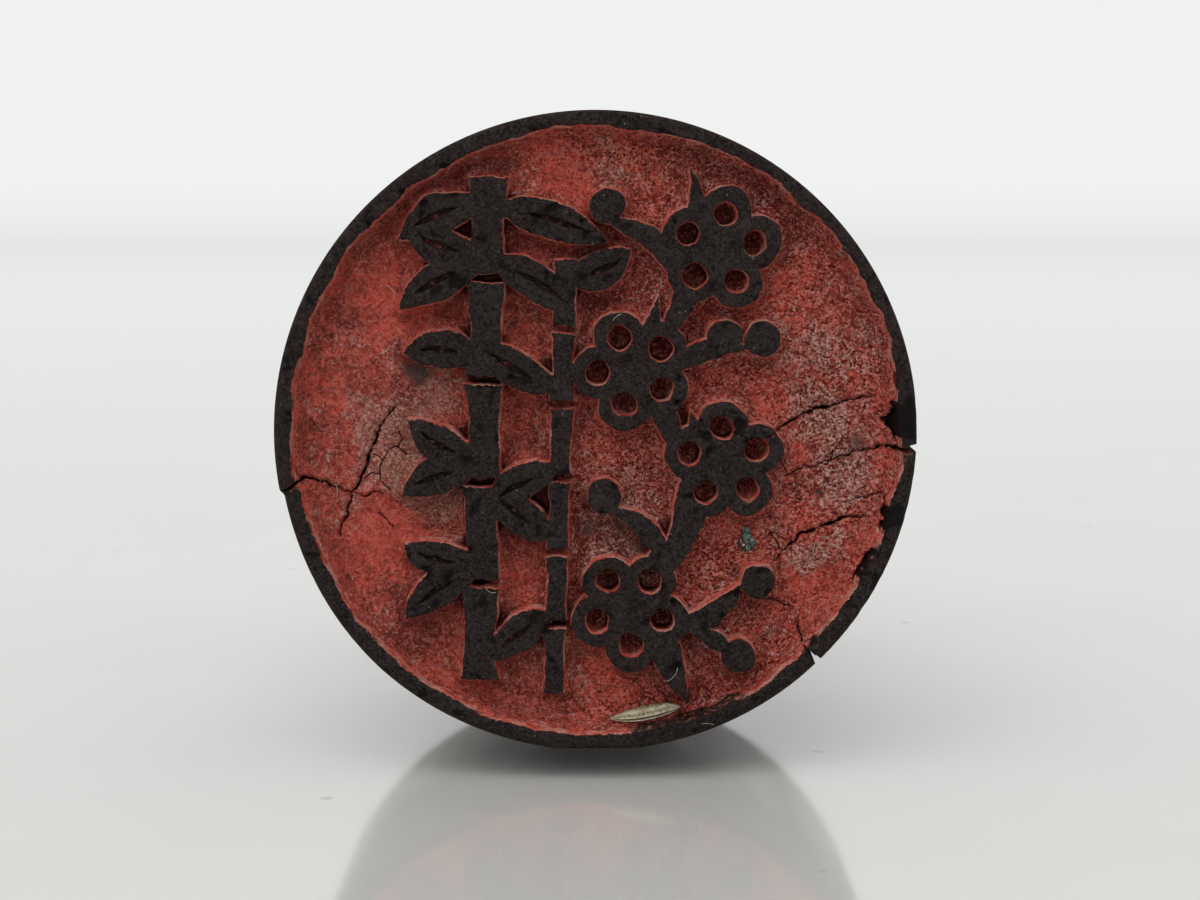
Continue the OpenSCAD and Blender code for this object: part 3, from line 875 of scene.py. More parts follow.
def paste_paint(settings):
    """Caked vermilion paste: plates, pits and grains, soaked dark in places, with painted shade in hollows,
    cracks and under the rim, a painted highlight along carved edges, and frosted with dust.
    """
    p = Paint("dried_paste")
    # Darkens the paste towards maroon: soaked ink in places, and painted shade under the top of the rim and
    # beside the carved walls.
    soaked = p.attribute("soaked")
    closed = p.attribute("enclosed")
    broad = p.noise(2.2, 4.0, 0.6)
    patch = p.noise(0.7, 5.0, 0.65, twist=0.5)
    plates = p.shades(0.62, 0.6)
    chips = p.shades(0.27, 0.6)
    grains = p.shades(0.098, 0.25)
    fine = p.noise(0.07, 2.0, 0.6)

    fresh = p.attribute("fresh")
    grainy = (0.58 + p.attribute("grainy") * 0.42) * (1.0 - fresh * 0.2)
    tone = patch * 0.5 + broad * 0.40 + plates * 0.07 + chips * 0.05 + fresh * 0.10
    # Painted shade: the tone drops towards maroon where standing wood closes the paste in.
    tone = tone - soaked * 0.10 - closed * 0.14
    p.colour = p.mix(tone.between(0.525, 0.565) * 0.72, settings.red, settings.fresh)
    p.lay(tone.between(0.480, 0.395) * 0.75, settings.maroon)
    dusty = p.attribute("dusty")
    powder = p.noise(1.1, 6.0, 0.7, twist=0.4) * 0.8 + plates * 0.10 + chips * 0.10 + dusty * 0.20
    powder = (powder - fresh * 0.06).between(0.55, 0.64)
    olive = (p.noise(2.4, 4.0, 0.6) + soaked * dusty * 0.10).between(0.50, 0.60)
    dust = p.mix(olive, settings.dust, (0.215, 0.100, 0.070))
    veil = p.noise(0.42, 4.0, 0.65).between(0.44, 0.64) * 0.12
    p.lay(veil + powder * 0.76, dust)
    spark = p.cells(1.5)["Distance"].between(0.11, 0.07) * p.noise(2.6, 1.0).between(0.54, 0.58)
    p.lay(spark * 0.8, (0.52, 0.055, 0.036))
    # Thin paste along the carved edges in salmon and pale frost: partly the paste's own colour, partly
    # painted highlight where the edges catch the light.
    lip = (p.attribute("lip") + p.noise(0.3, 3.0).swing(1.4)).between(0.30, 0.80) * (1.0 - closed * 0.6)
    frost = (p.noise(1.5, 3.0) + dusty * 0.12).between(0.46, 0.57)
    lip = lip * (0.30 + p.noise(0.9, 3.0).between(0.44, 0.58) * 0.5)
    p.lay(lip, p.mix(frost * 0.7, settings.salmon, (0.46, 0.27, 0.225)))
    p.lay(1.0, 0.72 + fine * 0.2 + chips * 0.36, "MULTIPLY")
    grit = grains * 0.6 + fine * 0.4
    pale = p.mix(powder, (0.45, 0.170, 0.135), (0.43, 0.255, 0.220))
    coarse = grainy * (0.70 + powder * 0.25 + p.noise(0.9, 3.0).between(0.42, 0.60) * 0.35)
    p.lay(grit.between(0.52, 0.78) * coarse, pale)
    p.lay(grit.between(0.48, 0.18) * coarse, (0.095, 0.003, 0.0015))
    salt = p.noise(0.20, 3.0, 0.7).between(0.56, 0.64) * p.noise(1.6, 2.0).between(0.58, 0.64)
    p.lay(salt * 0.7, (0.48, 0.34, 0.30))
    # Painted shade in the paste's small hollows: pits, gaps between clumps and fine lines.
    pit = (p.noise(0.17, 2.0, 0.6) + soaked * 0.03).between(0.595, 0.640)
    p.lay(pit * (grainy - 0.2), (0.048, 0.008, 0.006))
    gaps = p.cells(0.30, 0.6, "DISTANCE_TO_EDGE")["Distance"].between(0.09, 0.02) * grainy
    gaps = gaps * p.noise(0.75, 3.0).between(0.50, 0.60)
    p.lay(gaps * 0.45, (0.055, 0.0085, 0.006))
    lines = p.cells(0.95, 0.5, "DISTANCE_TO_EDGE")["Distance"].between(0.028, 0.012)
    lines = lines * p.noise(1.7, 2.0).between(0.57, 0.62)
    p.lay(lines * 0.7, (0.045, 0.010, 0.008))
    # Darker grey spots on the paste.
    greying = (p.attribute("greyed") + grains.swing(0.8) + patch.swing(1.2)).between(0.4, 0.9)
    p.lay(greying * 0.85, (0.055, 0.043, 0.039))
    # Painted shade: the paste along its cracks and at its broken edges is darkened.
    p.lay(p.attribute("crack").between(0.2, 0.75), (0.022, 0.0048, 0.004))

    relief = p.bump(patch + plates * 0.25 + chips * 0.25, 0.7, 0.20)
    relief = p.bump(grit - pit * 0.6 - lines * 0.5 - gaps * 0.4, 0.7, 0.05, relief)
    return p.finish(roughness=0.9, normal=relief, specular_ior_level=0.15)


def crumb_paint(settings):
    """Loose crumbs, from dark paste through red to pale dust."""
    p = Paint("loose_crumbs")
    tone = p.attribute("tone")
    p.colour = p.mix(tone.between(0.15, 0.45), settings.maroon, settings.red)
    p.lay(tone.between(0.45, 0.75), settings.fresh)
    p.lay(tone.between(0.80, 0.86), settings.dust)
    p.lay(tone.between(0.94, 0.97), (0.58, 0.50, 0.46))
    p.lay(p.noise(0.03, 2.0).between(0.35, 0.7) * 0.4, settings.maroon)
    relief = p.bump(p.noise(0.03, 2.0), 0.6, 0.02)
    return p.finish(roughness=0.85, normal=relief, specular_ior_level=0.2)


def husk_paint():
    """Straw-pale bran with darker ribs, a pale lower lip and small dark specks."""
    p = Paint("dry_husk")
    streaks = p.attribute("rib") + p.noise(0.10, 3.0).swing(1.2)
    p.colour = p.mix(streaks.between(0.1, 0.9), (0.235, 0.195, 0.125), (0.43, 0.385, 0.27))
    p.lay(p.noise(0.5, 3.0, 0.6).between(0.50, 0.64) * 0.6, (0.175, 0.130, 0.080))
    p.lay((p.attribute("edge") + (p.noise(0.15, 2.0) - 0.5)).between(0.8, 1.1) * 0.5, (0.13, 0.09, 0.055))
    p.lay(p.attribute("lip") * 0.8, (0.56, 0.52, 0.40))
    p.lay(p.attribute("groove") * 0.75, (0.055, 0.040, 0.026))
    p.lay(p.noise(0.16, 2.0).between(0.62, 0.67) * 0.85, (0.035, 0.022, 0.016))
    relief = p.bump(p.noise(0.07, 2.0), 0.5, 0.03)
    return p.finish(roughness=0.62, normal=relief, specular_ior_level=0.4)


def lint_paint():
    """Pale textile fibre, a little dirty in places."""
    p = Paint("lint_fibre")
    p.colour = p.mix(p.noise(0.35, 3.0).between(0.42, 0.66), (0.58, 0.56, 0.53), (0.27, 0.20, 0.18))
    return p.finish(roughness=0.75, specular_ior_level=0.3)


def fleck_paint():
    """Crumbled green paint: dark pits, pale mint grains and a rusty foot with a few pale specks of painted
    highlight.
    """
    p = Paint("green_crumb")
    grain = p.noise(0.15, 2.0, 0.6)
    p.colour = p.mix(grain.between(0.42, 0.58), (0.008, 0.013, 0.011), (0.098, 0.138, 0.116))
    p.lay(p.noise(0.11, 1.0).between(0.58, 0.66) * 0.8, (0.23, 0.27, 0.235))
    foot = (p.attribute("foot") + p.noise(0.16, 2.0).swing(1.4)).between(0.40, 0.70)
    p.lay(foot, p.mix(grain.between(0.40, 0.62), (0.020, 0.006, 0.005), (0.125, 0.050, 0.034)))
    # Painted highlight: pale glinting specks on the rusty foot.
    p.lay(foot * p.noise(0.13, 1.0).between(0.62, 0.67), (0.60, 0.50, 0.44))
    relief = p.bump(grain, 0.9, 0.08)
    return p.finish(roughness=0.8, normal=relief)


face = CarvedFace()


class SEAL_OT_block(bpy.types.Operator):
    """Carve the printing block: worn relief, leaning walls, split rim and long drum"""

    bl_idname = "seal.block"
    bl_label = "Printing block"

    def carving(self):
        """Places and triangles of the carved end, with its outer edge."""
        loops = [resampled(loop, OUTLINE_STEP) for loop in face.tops + face.veins + face.cracks]
        inner = [loop for loop in loops if radius_of(loop).max() < face.rim_outer]
        split = [loop for loop in loops if radius_of(loop).max() >= face.rim_outer]
        turn = np.linspace(0.0, 2 * math.pi, RIM_SEGMENTS, endpoint=False)
        outer = np.stack((np.cos(turn), np.sin(turn)), axis=1) * face.reach(turn)[:, None]
        loose = np.concatenate(split)
        rows = beside(loops, (0.045, 0.10, 0.17, 0.27), face.walls)
        fill = lattice(face.radius - 0.12, WOOD_PITCH, 5)
        inside = radius_of(fill) < face.reach(np.radians(angle_of(fill))) - 0.1
        fill = fill[inside & (face.walls.distance(fill) > 0.34)]
        points = np.concatenate((loose, rows))
        points = points[radius_of(points) < face.rim_outer + 0.1]
        return knit([outer] + inner, [], np.concatenate((points, fill)))

    def relief(self, co, settings):
        """Depth of the carved end at its points, and what the paint is told about them."""
        away = face.walls.distance(co)
        r = radius_of(co)
        angle = angle_of(co)
        standing = within(co, face.tops) | (away < 0.004) | (r > face.rim_outer)
        in_crack = within(co, face.cracks) | (face.splits.distance(co) < 0.012)
        in_vein = within(co, face.veins) & ~standing
        edge = np.clip(1.0 - away / settings.edge_round, 0.0, 1.0)
        worn_top = 0.02 * (1.0 + wobble(co, 2.6, 21)) + 0.008 * (1.0 + wobble(co, 0.5, 22))
        worn_top += 0.05 * smooth(0.45, 0.75, wobble(co, 0.42, 24))
        dent = smooth(0.55, 0.75, wobble(co, 0.75, 28, 2)) * smooth(face.rim_outer, face.rim_outer - 0.3, r)
        chewed = face.chewed(angle) * smooth(face.recess - 0.1, face.recess + 0.1, r)
        worn_top += 0.2 * dent + 0.10 * chewed * np.clip(0.6 + wobble(co, 0.5, 29, 2), 0.0, 1.6)
        outer_edge = np.clip((r - face.radius + 0.3) / 0.3, 0.0, 1.0)
        top_depth = worn_top + 0.035 * edge * edge + 0.14 * outer_edge * outer_edge
        lean = settings.wall_spread * (1.0 + 0.3 * wobble(co, 0.8, 23))
        carved = 0.05 + (face.ground - 0.05) * np.clip(away / lean, 0.0, 1.0) ** 0.85
        carved[in_vein] = np.minimum(carved[in_vein], face.depths[1] * 0.75)
        at_rim = smooth(face.radius - 2.6, face.radius - 1.8, r)
        left = face.bitten(co)
        bitten = smooth(0.03, 0.14, left)
        broken = smooth(-0.04, 0.14, r - face.recess + left) * bitten
        torn = 0.62 + 0.3 * wobble(co, 0.6, 25, 2) + 0.25 * wobble(co, 0.24, 26)
        carved = np.maximum(carved - broken * np.clip(torn, 0.0, 1.2) * smooth(0.0, 0.4, carved), 0.05)
        depth = np.where(standing, top_depth, carved)
        depth = np.where(in_crack, np.where(r > face.radius - 1.8, face.depths[-1], depth + 2.6), depth)

        chips = smooth(0.15, 0.35, wobble(co, 0.9, 27, 2))
        beside_flake = at_rim * smooth(-88, -80, angle) * smooth(-57, -63, angle)
        chipped = 0.6 * chips * smooth(3, 8, angle) * smooth(22, 14, angle)
        bare = at_rim * (bitten + chipped) + 0.62 * beside_flake
        closed = face.enclosed(co)
        return depth, {
            "depth": np.where(standing, 0.0, carved) * np.where(in_vein, 0.14, 1.0),
            "bare": np.clip(bare, 0.0, 1.0),
            # How deep and closed in the carving is, for painted shade on the walls.
            "pocket_shade": np.where(standing, 0.0, smooth(0.35, 0.75, closed) * smooth(0.2, 1.2, carved)),
            # Inside the cracks, for painted shade there.
            "crack": in_crack.astype(float),
            # Dents in the relief tops, where the wood paint lays painted shade.
            "dent": dent * standing,
            "rust": spots(co, RUSTY_SPOTS),
            # Rubbed edges, and beside the husk browner bare wood that is partly painted light on the lower
            # rim's upward-facing inner wall.
            "wear_and_lit_slope": 0.5 * edge * standing + 0.6 * outer_edge + 0.9 * beside_flake * ~standing,
        }

    def drum(self, co, depth, places, layers, faces):
        """Adds the drum's side and back to the places, attributes and faces of the carved end."""
        r = radius_of(co)
        angle = angle_of(co)
        ring = np.flatnonzero(r > face.reach(np.radians(angle)) - 0.004)
        ring = ring[np.argsort(angle[ring])]
        n = len(ring)
        following = np.roll(np.arange(n), -1)
        end = face.length
        # Rings behind the printing plane: distance and inset, rounded off at the back
        rings = [(level, 0.0) for level in (0.5, 1.2, 2.4, 4.0, 6.5, 10.0, 14.0, 18.0, 22.0, end - 0.8)]
        rings += [(end - 0.35, 0.28), (end, 0.8)]
        last = ring
        start = len(co)
        for level, inset in rings:
            w = np.minimum(-level, -depth[ring] - 0.05 - 0.02 * level)
            ridges = wobble(np.stack((co[ring, 0], co[ring, 1], w * 0.15), axis=1), 1.2, 31)
            sprung = face.slipped(co[ring]) * smooth(14.0, 0.0, level)
            keep = (r[ring] - inset - sprung - (0.0 if inset else 0.012) * (1 + ridges)) / r[ring]
            places.append(face.to_world(co[ring, 0] * keep, co[ring, 1] * keep, w))
            for key, values in layers.items():
                values.append(np.full(n, 0.7 if key == "wear_and_lit_slope" and inset else 0.0))
            row = np.arange(start, start + n)
            faces.extend(np.stack((last, row, row[following], last[following]), axis=1).tolist())
            last = row
            start += n
        places.append(face.to_world(np.zeros(1), np.zeros(1), np.full(1, -end)))
        for values in layers.values():
            values.append(np.zeros(1))
        faces.extend(np.stack((last, np.full(n, start), last[following]), axis=1).tolist())

    def execute(self, context):
        settings = context.scene.seal_wood
        co, tri = self.carving()
        depth, told = self.relief(co, settings)
        moved = face.hand_cut(co)
        places = [face.to_world(moved[:, 0], moved[:, 1], -depth)]
        layers = {key: [values] for key, values in told.items()}
        faces = tri.tolist()
        self.drum(co, depth, places, layers, faces)
        told = {key: np.concatenate(values) for key, values in layers.items()}
        mesh = new_mesh("printing_block_wood", np.concatenate(places), faces, told)
        mended(mesh)
        material = wood_paint(settings, context.scene.seal_paste)
        new_piece("printing_block_wood", mesh, material, ("printing_block",))
        return {"FINISHED"}


class SEAL_OT_paste(bpy.types.Operator):
    """Spread the caked paste over the carved ground and into the petals"""

    bl_idname = "seal.paste"
    bl_label = "Ink paste"

    def net(self, loops):
        """Places and triangles within outlines, and distances to the drying lines in them."""
        own = Nearest(np.concatenate(loops))
        lines = []
        for seed, path in HAIRLINES.items():
            line = resampled(np.array(path), 0.07, closed=False)
            line[:, 0] += 0.06 * wobble(line, 0.25, seed)
            line[:, 1] += 0.06 * wobble(line, 0.25, seed + 20)
            if within(line, loops).all():
                lines.append(line)
        hair = Nearest([place for line in lines for place in resampled(line, 0.02, closed=False)])
        fill = lattice(face.radius - 0.8, PASTE_PITCH, 9)
        points = np.concatenate((beside(loops, (0.05, 0.11), own), fill, beside(lines, (0.05,), hair)))
        points = points[(own.distance(points) > 0.045) & within(points, loops)]
        co, tri = knit(loops, lines, points[hair.distance(points) > 0.044])
        return co, tri[within(co[tri].mean(axis=1), loops)], hair.distance(co)

    def sheet(self, name, node, settings):
        """The top of a bed of paste as an open sheet."""
        loops = pinched([resampled(loop, 0.08) for loop in face.beds(node)])
        border = np.concatenate(loops)
        free = border[face.walls.distance(border) > 0.12]
        co, tri, to_hair = self.net(loops)
        to_wall = face.walls.distance(co)
        to_free = Nearest(free).distance(co)
        # Where the paste cracks or breaks off, for painted shade along the gap.
        crack = np.maximum(0.8 * smooth(0.035, 0.0, to_free), smooth(0.045, 0.0, to_hair))
        closed = face.enclosed(co)
        calm = 0.25 + 0.75 * smooth(0.0, 0.5, to_wall)
        thick = face.ground - face.bed + 0.14 * wobble(co, 3.6, 41) - 0.05 * smooth(1.0, 2.5, to_wall)
        lump = wobble(co, 0.85, 42, 2) + 0.55 * wobble(co, 0.30, 43, 2) + 0.25 * wobble(co, 0.14, 45)
        thick += settings.lumps * lump * calm
        climb = 1.0 - smooth(0.0, 1.0, to_wall)
        open_ground = smooth(0.72, 0.5, closed)
        r = radius_of(co)
        by_rim = smooth(face.radius - 2.2, face.radius - 1.5, r)
        creep = settings.creep * (1.0 + 0.45 * by_rim) * climb ** 1.8
        creep *= np.clip(0.85 + 0.3 * wobble(co, 1.6, 44), 0.3, 1.2)
        thick += creep * (0.25 + 0.75 * open_ground)
        thick += 0.05 * calm * smooth(-0.06, 0.06, wobble(co, 1.1, 46, 3))
        off = co - face.flake_middle
        seat = smooth(1.15, 0.95, np.abs(off @ face.flake_along) / (face.flake_length / 2))
        seat *= smooth(1.35, 1.0, np.abs(off @ face.flake_out) / (face.flake_width / 2))
        thick += seat * np.minimum(face.ground - face.flake_seat - thick, 0.0)
        angle = angle_of(co)
        thick -= 0.8 * by_rim * climb * smooth(-76, -72, angle) * smooth(-50, -57, angle)
        thick = thick * (0.7 + 0.3 * smooth(0.0, 0.14, to_free)) - 0.22 * crack * (to_free > 0.05)
        height = np.maximum(thick, 0.06) - face.ground
        moved = face.hand_cut(co)
        mesh = new_mesh(name, face.to_world(moved[:, 0], moved[:, 1], height), tri.tolist(), {
            "dusty": spots(co, DUSTY_SPOTS),
            "fresh": spots(co, FRESH_SPOTS) + 0.35 * climb ** 3,
            # Soaked ink spots, and painted shade beside the carved walls away from the rim.
            "soaked": spots(co, SOAKED_AND_SHADED_SPOTS) + 0.5 * smooth(1.0, 0.3, to_wall) * (1.0 - by_rim),
            # Dark grey spots on the paste.
            "greyed": spots(co, DARK_GREY_SPOTS),
            "grainy": smooth(-5.0, 3.0, co[:, 0] + 2.5 * wobble(co, 4.0, 47)),
            # How far standing wood closes a place in, for painted shade in the paint.
            "enclosed": smooth(0.3, 0.8, closed),
            "crack": crack,
            # The band along the carved walls that takes the salmon edge colour and its painted highlight.
            "lip": smooth(0.15, 0.01, to_wall),
        })
        mended(mesh)
        return mesh

    def crumbs(self, mesh, settings):
        """Scatters loose crumbs over a sheet of paste."""
        g = Growth("scattered_crumbs", (
            ("Crumbs per square metre", "Float", settings.crumbs / MM ** 2),
            ("Smallest", "Float", 0.014 * MM),
            ("Largest", "Float", 0.052 * MM),
            ("Seed", "Int", 4),
        ))
        seed = g.given["Seed"]
        spread = g.given["Crumbs per square metre"] * (0.35 + g.stored("dusty") * 0.9)
        spread = spread * (1.0 - g.stored("crack")).clamped()
        points = g.node("GeometryNodeDistributePointsOnFaces", {
            "Mesh": g.given["Geometry"], "Density": spread, "Seed": seed,
        }, distribute_method="RANDOM")["Points"]
        ball = g.node("GeometryNodeMeshIcoSphere", {"Radius": 1.0, "Subdivisions": 1})["Mesh"]
        size = g.given["Smallest"] + (g.given["Largest"] - g.given["Smallest"]) * g.chance(seed) ** 2.2
        uneven = g.chances(seed, (0.6, 0.6, 0.5), (1.3, 1.3, 1.0))
        scale = g.node("ShaderNodeVectorMath", {0: uneven, "Scale": size}, operation="SCALE")["Vector"]
        placed = g.node("GeometryNodeInstanceOnPoints", {
            "Points": points, "Instance": ball, "Scale": scale,
            "Rotation": g.chances(seed, (0, 0, 0), (6.28, 6.28, 6.28)),
        })["Instances"]
        toned = g.node("GeometryNodeStoreNamedAttribute", {
            "Geometry": placed, "Name": "tone", "Value": g.chance(seed + 7.0),
        }, data_type="FLOAT", domain="INSTANCE")["Geometry"]
        material = crumb_paint(settings)
        new_piece("paste_crumbs", g.grown(toned, material, mesh.copy()), material)

    def execute(self, context):
        settings = context.scene.seal_paste
        material = paste_paint(settings)
        for name, node in (("ink_paste_bed", "ink_paste"), ("ink_paste_pockets", "ink_pockets")):
            mesh = self.sheet(name, node, settings)
            if node == "ink_paste":
                self.crumbs(mesh, settings)
            mended(mesh, face.front + (face.ground + 0.08) * MM)
            new_piece(name, mesh, material, (node,))
        return {"FINISHED"}


class SEAL_OT_grip(bpy.types.Operator):
    """Turn the grip on its axis: collar, hollowed neck and round knob"""

    bl_idname = "seal.grip"
    bl_label = "Turned grip"

    def profile(self, s):
        """Radius and distance behind the block's back, in mm, from the tenon's end to the knob's pole."""
        low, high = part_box("grip")
        knob = (high.x - low.x) / 2 / MM
        back = face.front / MM + face.length
        end = high.y / MM - back
        tenon_end = low.y / MM - back
        bead = s.collar_height / 2
        flare = s.collar - bead
        middle = end - knob
        cove_out = s.neck + s.cove
        cove_at = middle - math.sqrt((knob + s.cove - s.crease) ** 2 - cove_out ** 2)
        path = [(0.0, tenon_end), (s.tenon - 0.3, tenon_end), (s.tenon, tenon_end + 0.3)]
        path += [(s.tenon, 0.02), (flare, 0.02)]
        for a in np.linspace(-1.5, 1.5, 15):
            path.append((flare + bead * math.cos(a), bead + bead * math.sin(a)))
        path.append((flare, 2 * bead + 0.06))
        path += [(flare - 0.04, y) for y in np.arange(2 * bead + 0.3, cove_at - 4.2, 0.35)]
        first = math.acos((cove_out - flare + 0.04) / s.cove)
        reach = math.hypot(cove_out, middle - cove_at)
        toward = math.atan2(middle - cove_at, -cove_out)
        spread = math.acos((s.cove ** 2 + reach ** 2 - knob ** 2) / (2 * s.cove * reach))
        last = math.pi - (toward + spread)
        for a in np.linspace(-first, last, 26):
            path.append((cove_out - s.cove * math.cos(a), cove_at + s.cove * math.sin(a)))
        r, y = path[-1]
        start = math.atan2(middle - y, r)
        for a in np.linspace(start - 0.01, -math.pi / 2, 40):
            path.append((max(0.0, knob * math.cos(a)), middle - knob * math.sin(a)))
        return np.array(path), back

    def execute(self, context):
        settings = context.scene.seal_wood
        path, back = self.profile(settings)
        points = np.stack((path[:, 0] * MM, (path[:, 1] + back) * MM, np.zeros(len(path))), axis=1)
        line = new_mesh("grip_profile", points, [])
        g = Growth("turned_grip", (
            ("Turns", "Int", settings.turns),
            ("Axis height", "Float", face.axis),
            ("Wear", "Float", 0.05 * MM),
            ("Tool marks", "Float", 0.012 * MM),
        ))
        steps = g.node("GeometryNodeAttributeDomainSize", {"Geometry": g.given["Geometry"]})["Point Count"]
        sheet = g.node("GeometryNodeMeshGrid", {
            "Size X": 1.0, "Size Y": 1.0, "Vertices X": steps, "Vertices Y": g.given["Turns"] + 1.0,
        })["Mesh"]
        position = g.node("GeometryNodeInputPosition")[0]
        here = g.axes(position)
        along = (here["X"] + 0.5) * (steps - 1.0)
        index = g.node("FunctionNodeFloatToInt", {0: along}, rounding_mode="ROUND")[0]
        at = g.axes(g.node("GeometryNodeSampleIndex", {
            "Geometry": g.given["Geometry"], "Value": position, "Index": index,
        }, data_type="FLOAT_VECTOR", domain="POINT")["Value"])
        turn = (here["Y"] + 0.5) * (2 * math.pi)
        spot = g.joined(turn.cos() * at["X"], at["Y"] * 0.35, turn.sin() * at["X"])
        uneven = g.node("ShaderNodeTexNoise", {"Vector": spot, "Scale": 0.3 / MM, "Detail": 2.0})["Fac"]
        marks = (at["Y"] * (2 * math.pi / (0.55 * MM))).sin() * 0.5 + 0.5
        inside = (at["X"] / (0.5 * MM)).clamped()
        radius = at["X"] - inside * (g.given["Wear"] * uneven + g.given["Tool marks"] * marks)
        spun = g.joined(turn.cos() * radius, at["Y"], turn.sin() * radius + g.given["Axis height"])
        moved = g.node("GeometryNodeSetPosition", {"Geometry": sheet, "Position": spun})[0]
        merged = g.node("GeometryNodeMergeByDistance", {"Geometry": moved, "Distance": 0.0005 * MM})[0]
        material = bpy.data.materials["stained_wood"]
        mesh = g.grown(merged, material, line)
        mended(mesh)
        new_piece("turned_grip", mesh, material, ("grip",))
        return {"FINISHED"}


class SEAL_OT_debris(bpy.types.Operator):
    """Lay the husk flake and the green fleck in the paste"""

    bl_idname = "seal.debris"
    bl_label = "Husk and fleck"

    def husk(self):
        """A dry bran flake: humped and notched along its upper edge, with a pale lip below."""
        rows, columns = 96, 27
        s, t = np.meshgrid(np.linspace(-1, 1, rows), np.linspace(-1, 1, columns), indexing="ij")
        s, t = s.ravel(), t.ravel()
        spot = np.stack((s * 3.0, t * 0.6), axis=1)
        ends = np.clip(1.0 - s * s, 0.0, 1.0)
        notch = np.exp(-((s - 0.10) / 0.035) ** 2)
        upper = ends ** 0.75 * (0.86 + 0.16 * s + 0.10 * wobble(spot[:, :1], 0.5, 71, 2)) - 0.13 * notch
        lower = 0.42 * ends ** 0.7
        across = 0.5 * face.flake_width * (np.where(t < 0, upper, lower) * t + 0.25 * ends) + 0.012 * t
        lip = smooth(0.66, 0.82, t)
        groove = np.exp(-((t - 0.50) / 0.14) ** 2) * smooth(0.98, 0.8, np.abs(s))
        ribs = np.cos(t * 9.0 + 1.4 * wobble(spot, 0.9, 72))
        rise = 0.30 + 0.62 * (1 - np.abs(t) ** 2.4) + 0.30 * lip - 0.30 * groove - 0.22 * notch * (t < -0.2)
        rise = face.flake_height * rise * (1 - 0.45 * s * s) + 0.02 * ribs * ends
        rise = rise + 0.025 * wobble(spot, 0.35, 73, 2)
        place = np.outer(s * face.flake_length / 2, face.flake_along) + np.outer(across, face.flake_out)
        place += face.flake_middle
        depth = face.flake_seat - np.clip(rise, 0.03, face.flake_height)
        cells = np.arange(rows * columns).reshape(rows, columns)
        quads = np.stack((cells[:-1, :-1], cells[1:, :-1], cells[1:, 1:], cells[:-1, 1:]), axis=-1)
        faces = quads.reshape(-1, 4).tolist()
        mesh = new_mesh("husk_shell", face.to_world(place[:, 0], place[:, 1], -depth), faces, {
            "edge": np.abs(t), "rib": 0.5 + 0.5 * ribs, "lip": lip, "groove": groove,
        })
        mended(mesh, face.front + (face.flake_seat + 0.05) * MM)
        new_piece("husk_shell", mesh, husk_paint(), ("husk_flake",))

    def fleck(self):
        """A crumb of green paint: a knobbly lump, narrow at the top, with a rusty foot on the left."""
        low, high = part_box("green_fleck")
        bm = bmesh.new()
        bmesh.ops.create_icosphere(bm, subdivisions=6, radius=1.0)
        co = np.array([v.co for v in bm.verts])
        faces = [[v.index for v in f.verts] for f in bm.faces]
        bm.free()
        co /= np.abs(co).max(axis=1, keepdims=True) ** 0.55
        rough = 0.92 + 0.28 * wobble(co, 0.6, 74, 2) + 0.20 * wobble(co, 0.26, 75, 2)
        co *= np.clip(rough, 0.5, 1.2)[:, None]
        upper = smooth(-0.5, 0.95, co[:, 2])
        co[:, 0] = co[:, 0] * (1.0 - 0.62 * upper) - 0.10 * upper
        foot = smooth(0.10, -0.65, co[:, 0] + 0.35 * co[:, 2])
        co = np.clip(co, -1, 1) * np.array((high - low) / 2) + np.array((low + high) / 2)
        mesh = new_mesh("green_lump", co, faces, {"foot": foot})
        new_piece("green_lump", mesh, fleck_paint(), ("green_fleck",))

    def execute(self, context):
        self.husk()
        self.fleck()
        return {"FINISHED"}


class SEAL_OT_lint(bpy.types.Operator):
    """Let a few fibres of lint settle on the face"""

    bl_idname = "seal.lint"
    bl_label = "Lint fibres"

    def settled(self, u, v):
        """Height of the topmost surface at a place on the face, in mm."""
        start = Vector(face.to_world(np.array([u]), np.array([v]), np.array([3.0]))[0])
        best = -face.ground
        for name in ("printing_block_wood", "ink_paste_bed"):
            hit, place, _, _ = bpy.data.objects[name].ray_cast(start, Vector((0, 1, 0)))
            if hit:
                best = max(best, (face.front - place.y) / MM)
        return best

    def execute(self, context):
        places = []
        edges = []
        for u, v, heading, length, bend in FIBRES:
            steps = math.ceil(length / 0.07)
            step = length / steps
            turn = math.radians(heading)
            for k in range(steps + 1):
                if k:
                    edges.append((len(places) - 1, len(places)))
                lift = 0.022 + 0.05 * math.sin(math.pi * k / steps)
                places.append((u, v, min(self.settled(u, v) + lift, -0.015)))
                u += step * math.cos(turn)
                v += step * math.sin(turn)
                turn += math.radians(bend) * step * (1.0 + 0.8 * math.sin(2.4 * k * step))
        line = new_mesh("lint_lines", face.to_world(*np.array(places).T), [], edges=edges)
        g = Growth("lint", (("Thickness", "Float", 0.019 * MM),))
        path = g.node("GeometryNodeMeshToCurve", {"Mesh": g.given["Geometry"]})["Curve"]
        radius = g.given["Thickness"] * 0.5
        ring = g.node("GeometryNodeCurvePrimitiveCircle", {"Resolution": 5, "Radius": radius})["Curve"]
        sockets = {"Curve": path, "Profile Curve": ring, "Fill Caps": True}
        tube = g.node("GeometryNodeCurveToMesh", sockets)["Mesh"]
        material = lint_paint()
        mesh = g.grown(tube, material, line)
        mended(mesh)
        new_piece("lint_fibres", mesh, material)
        return {"FINISHED"}


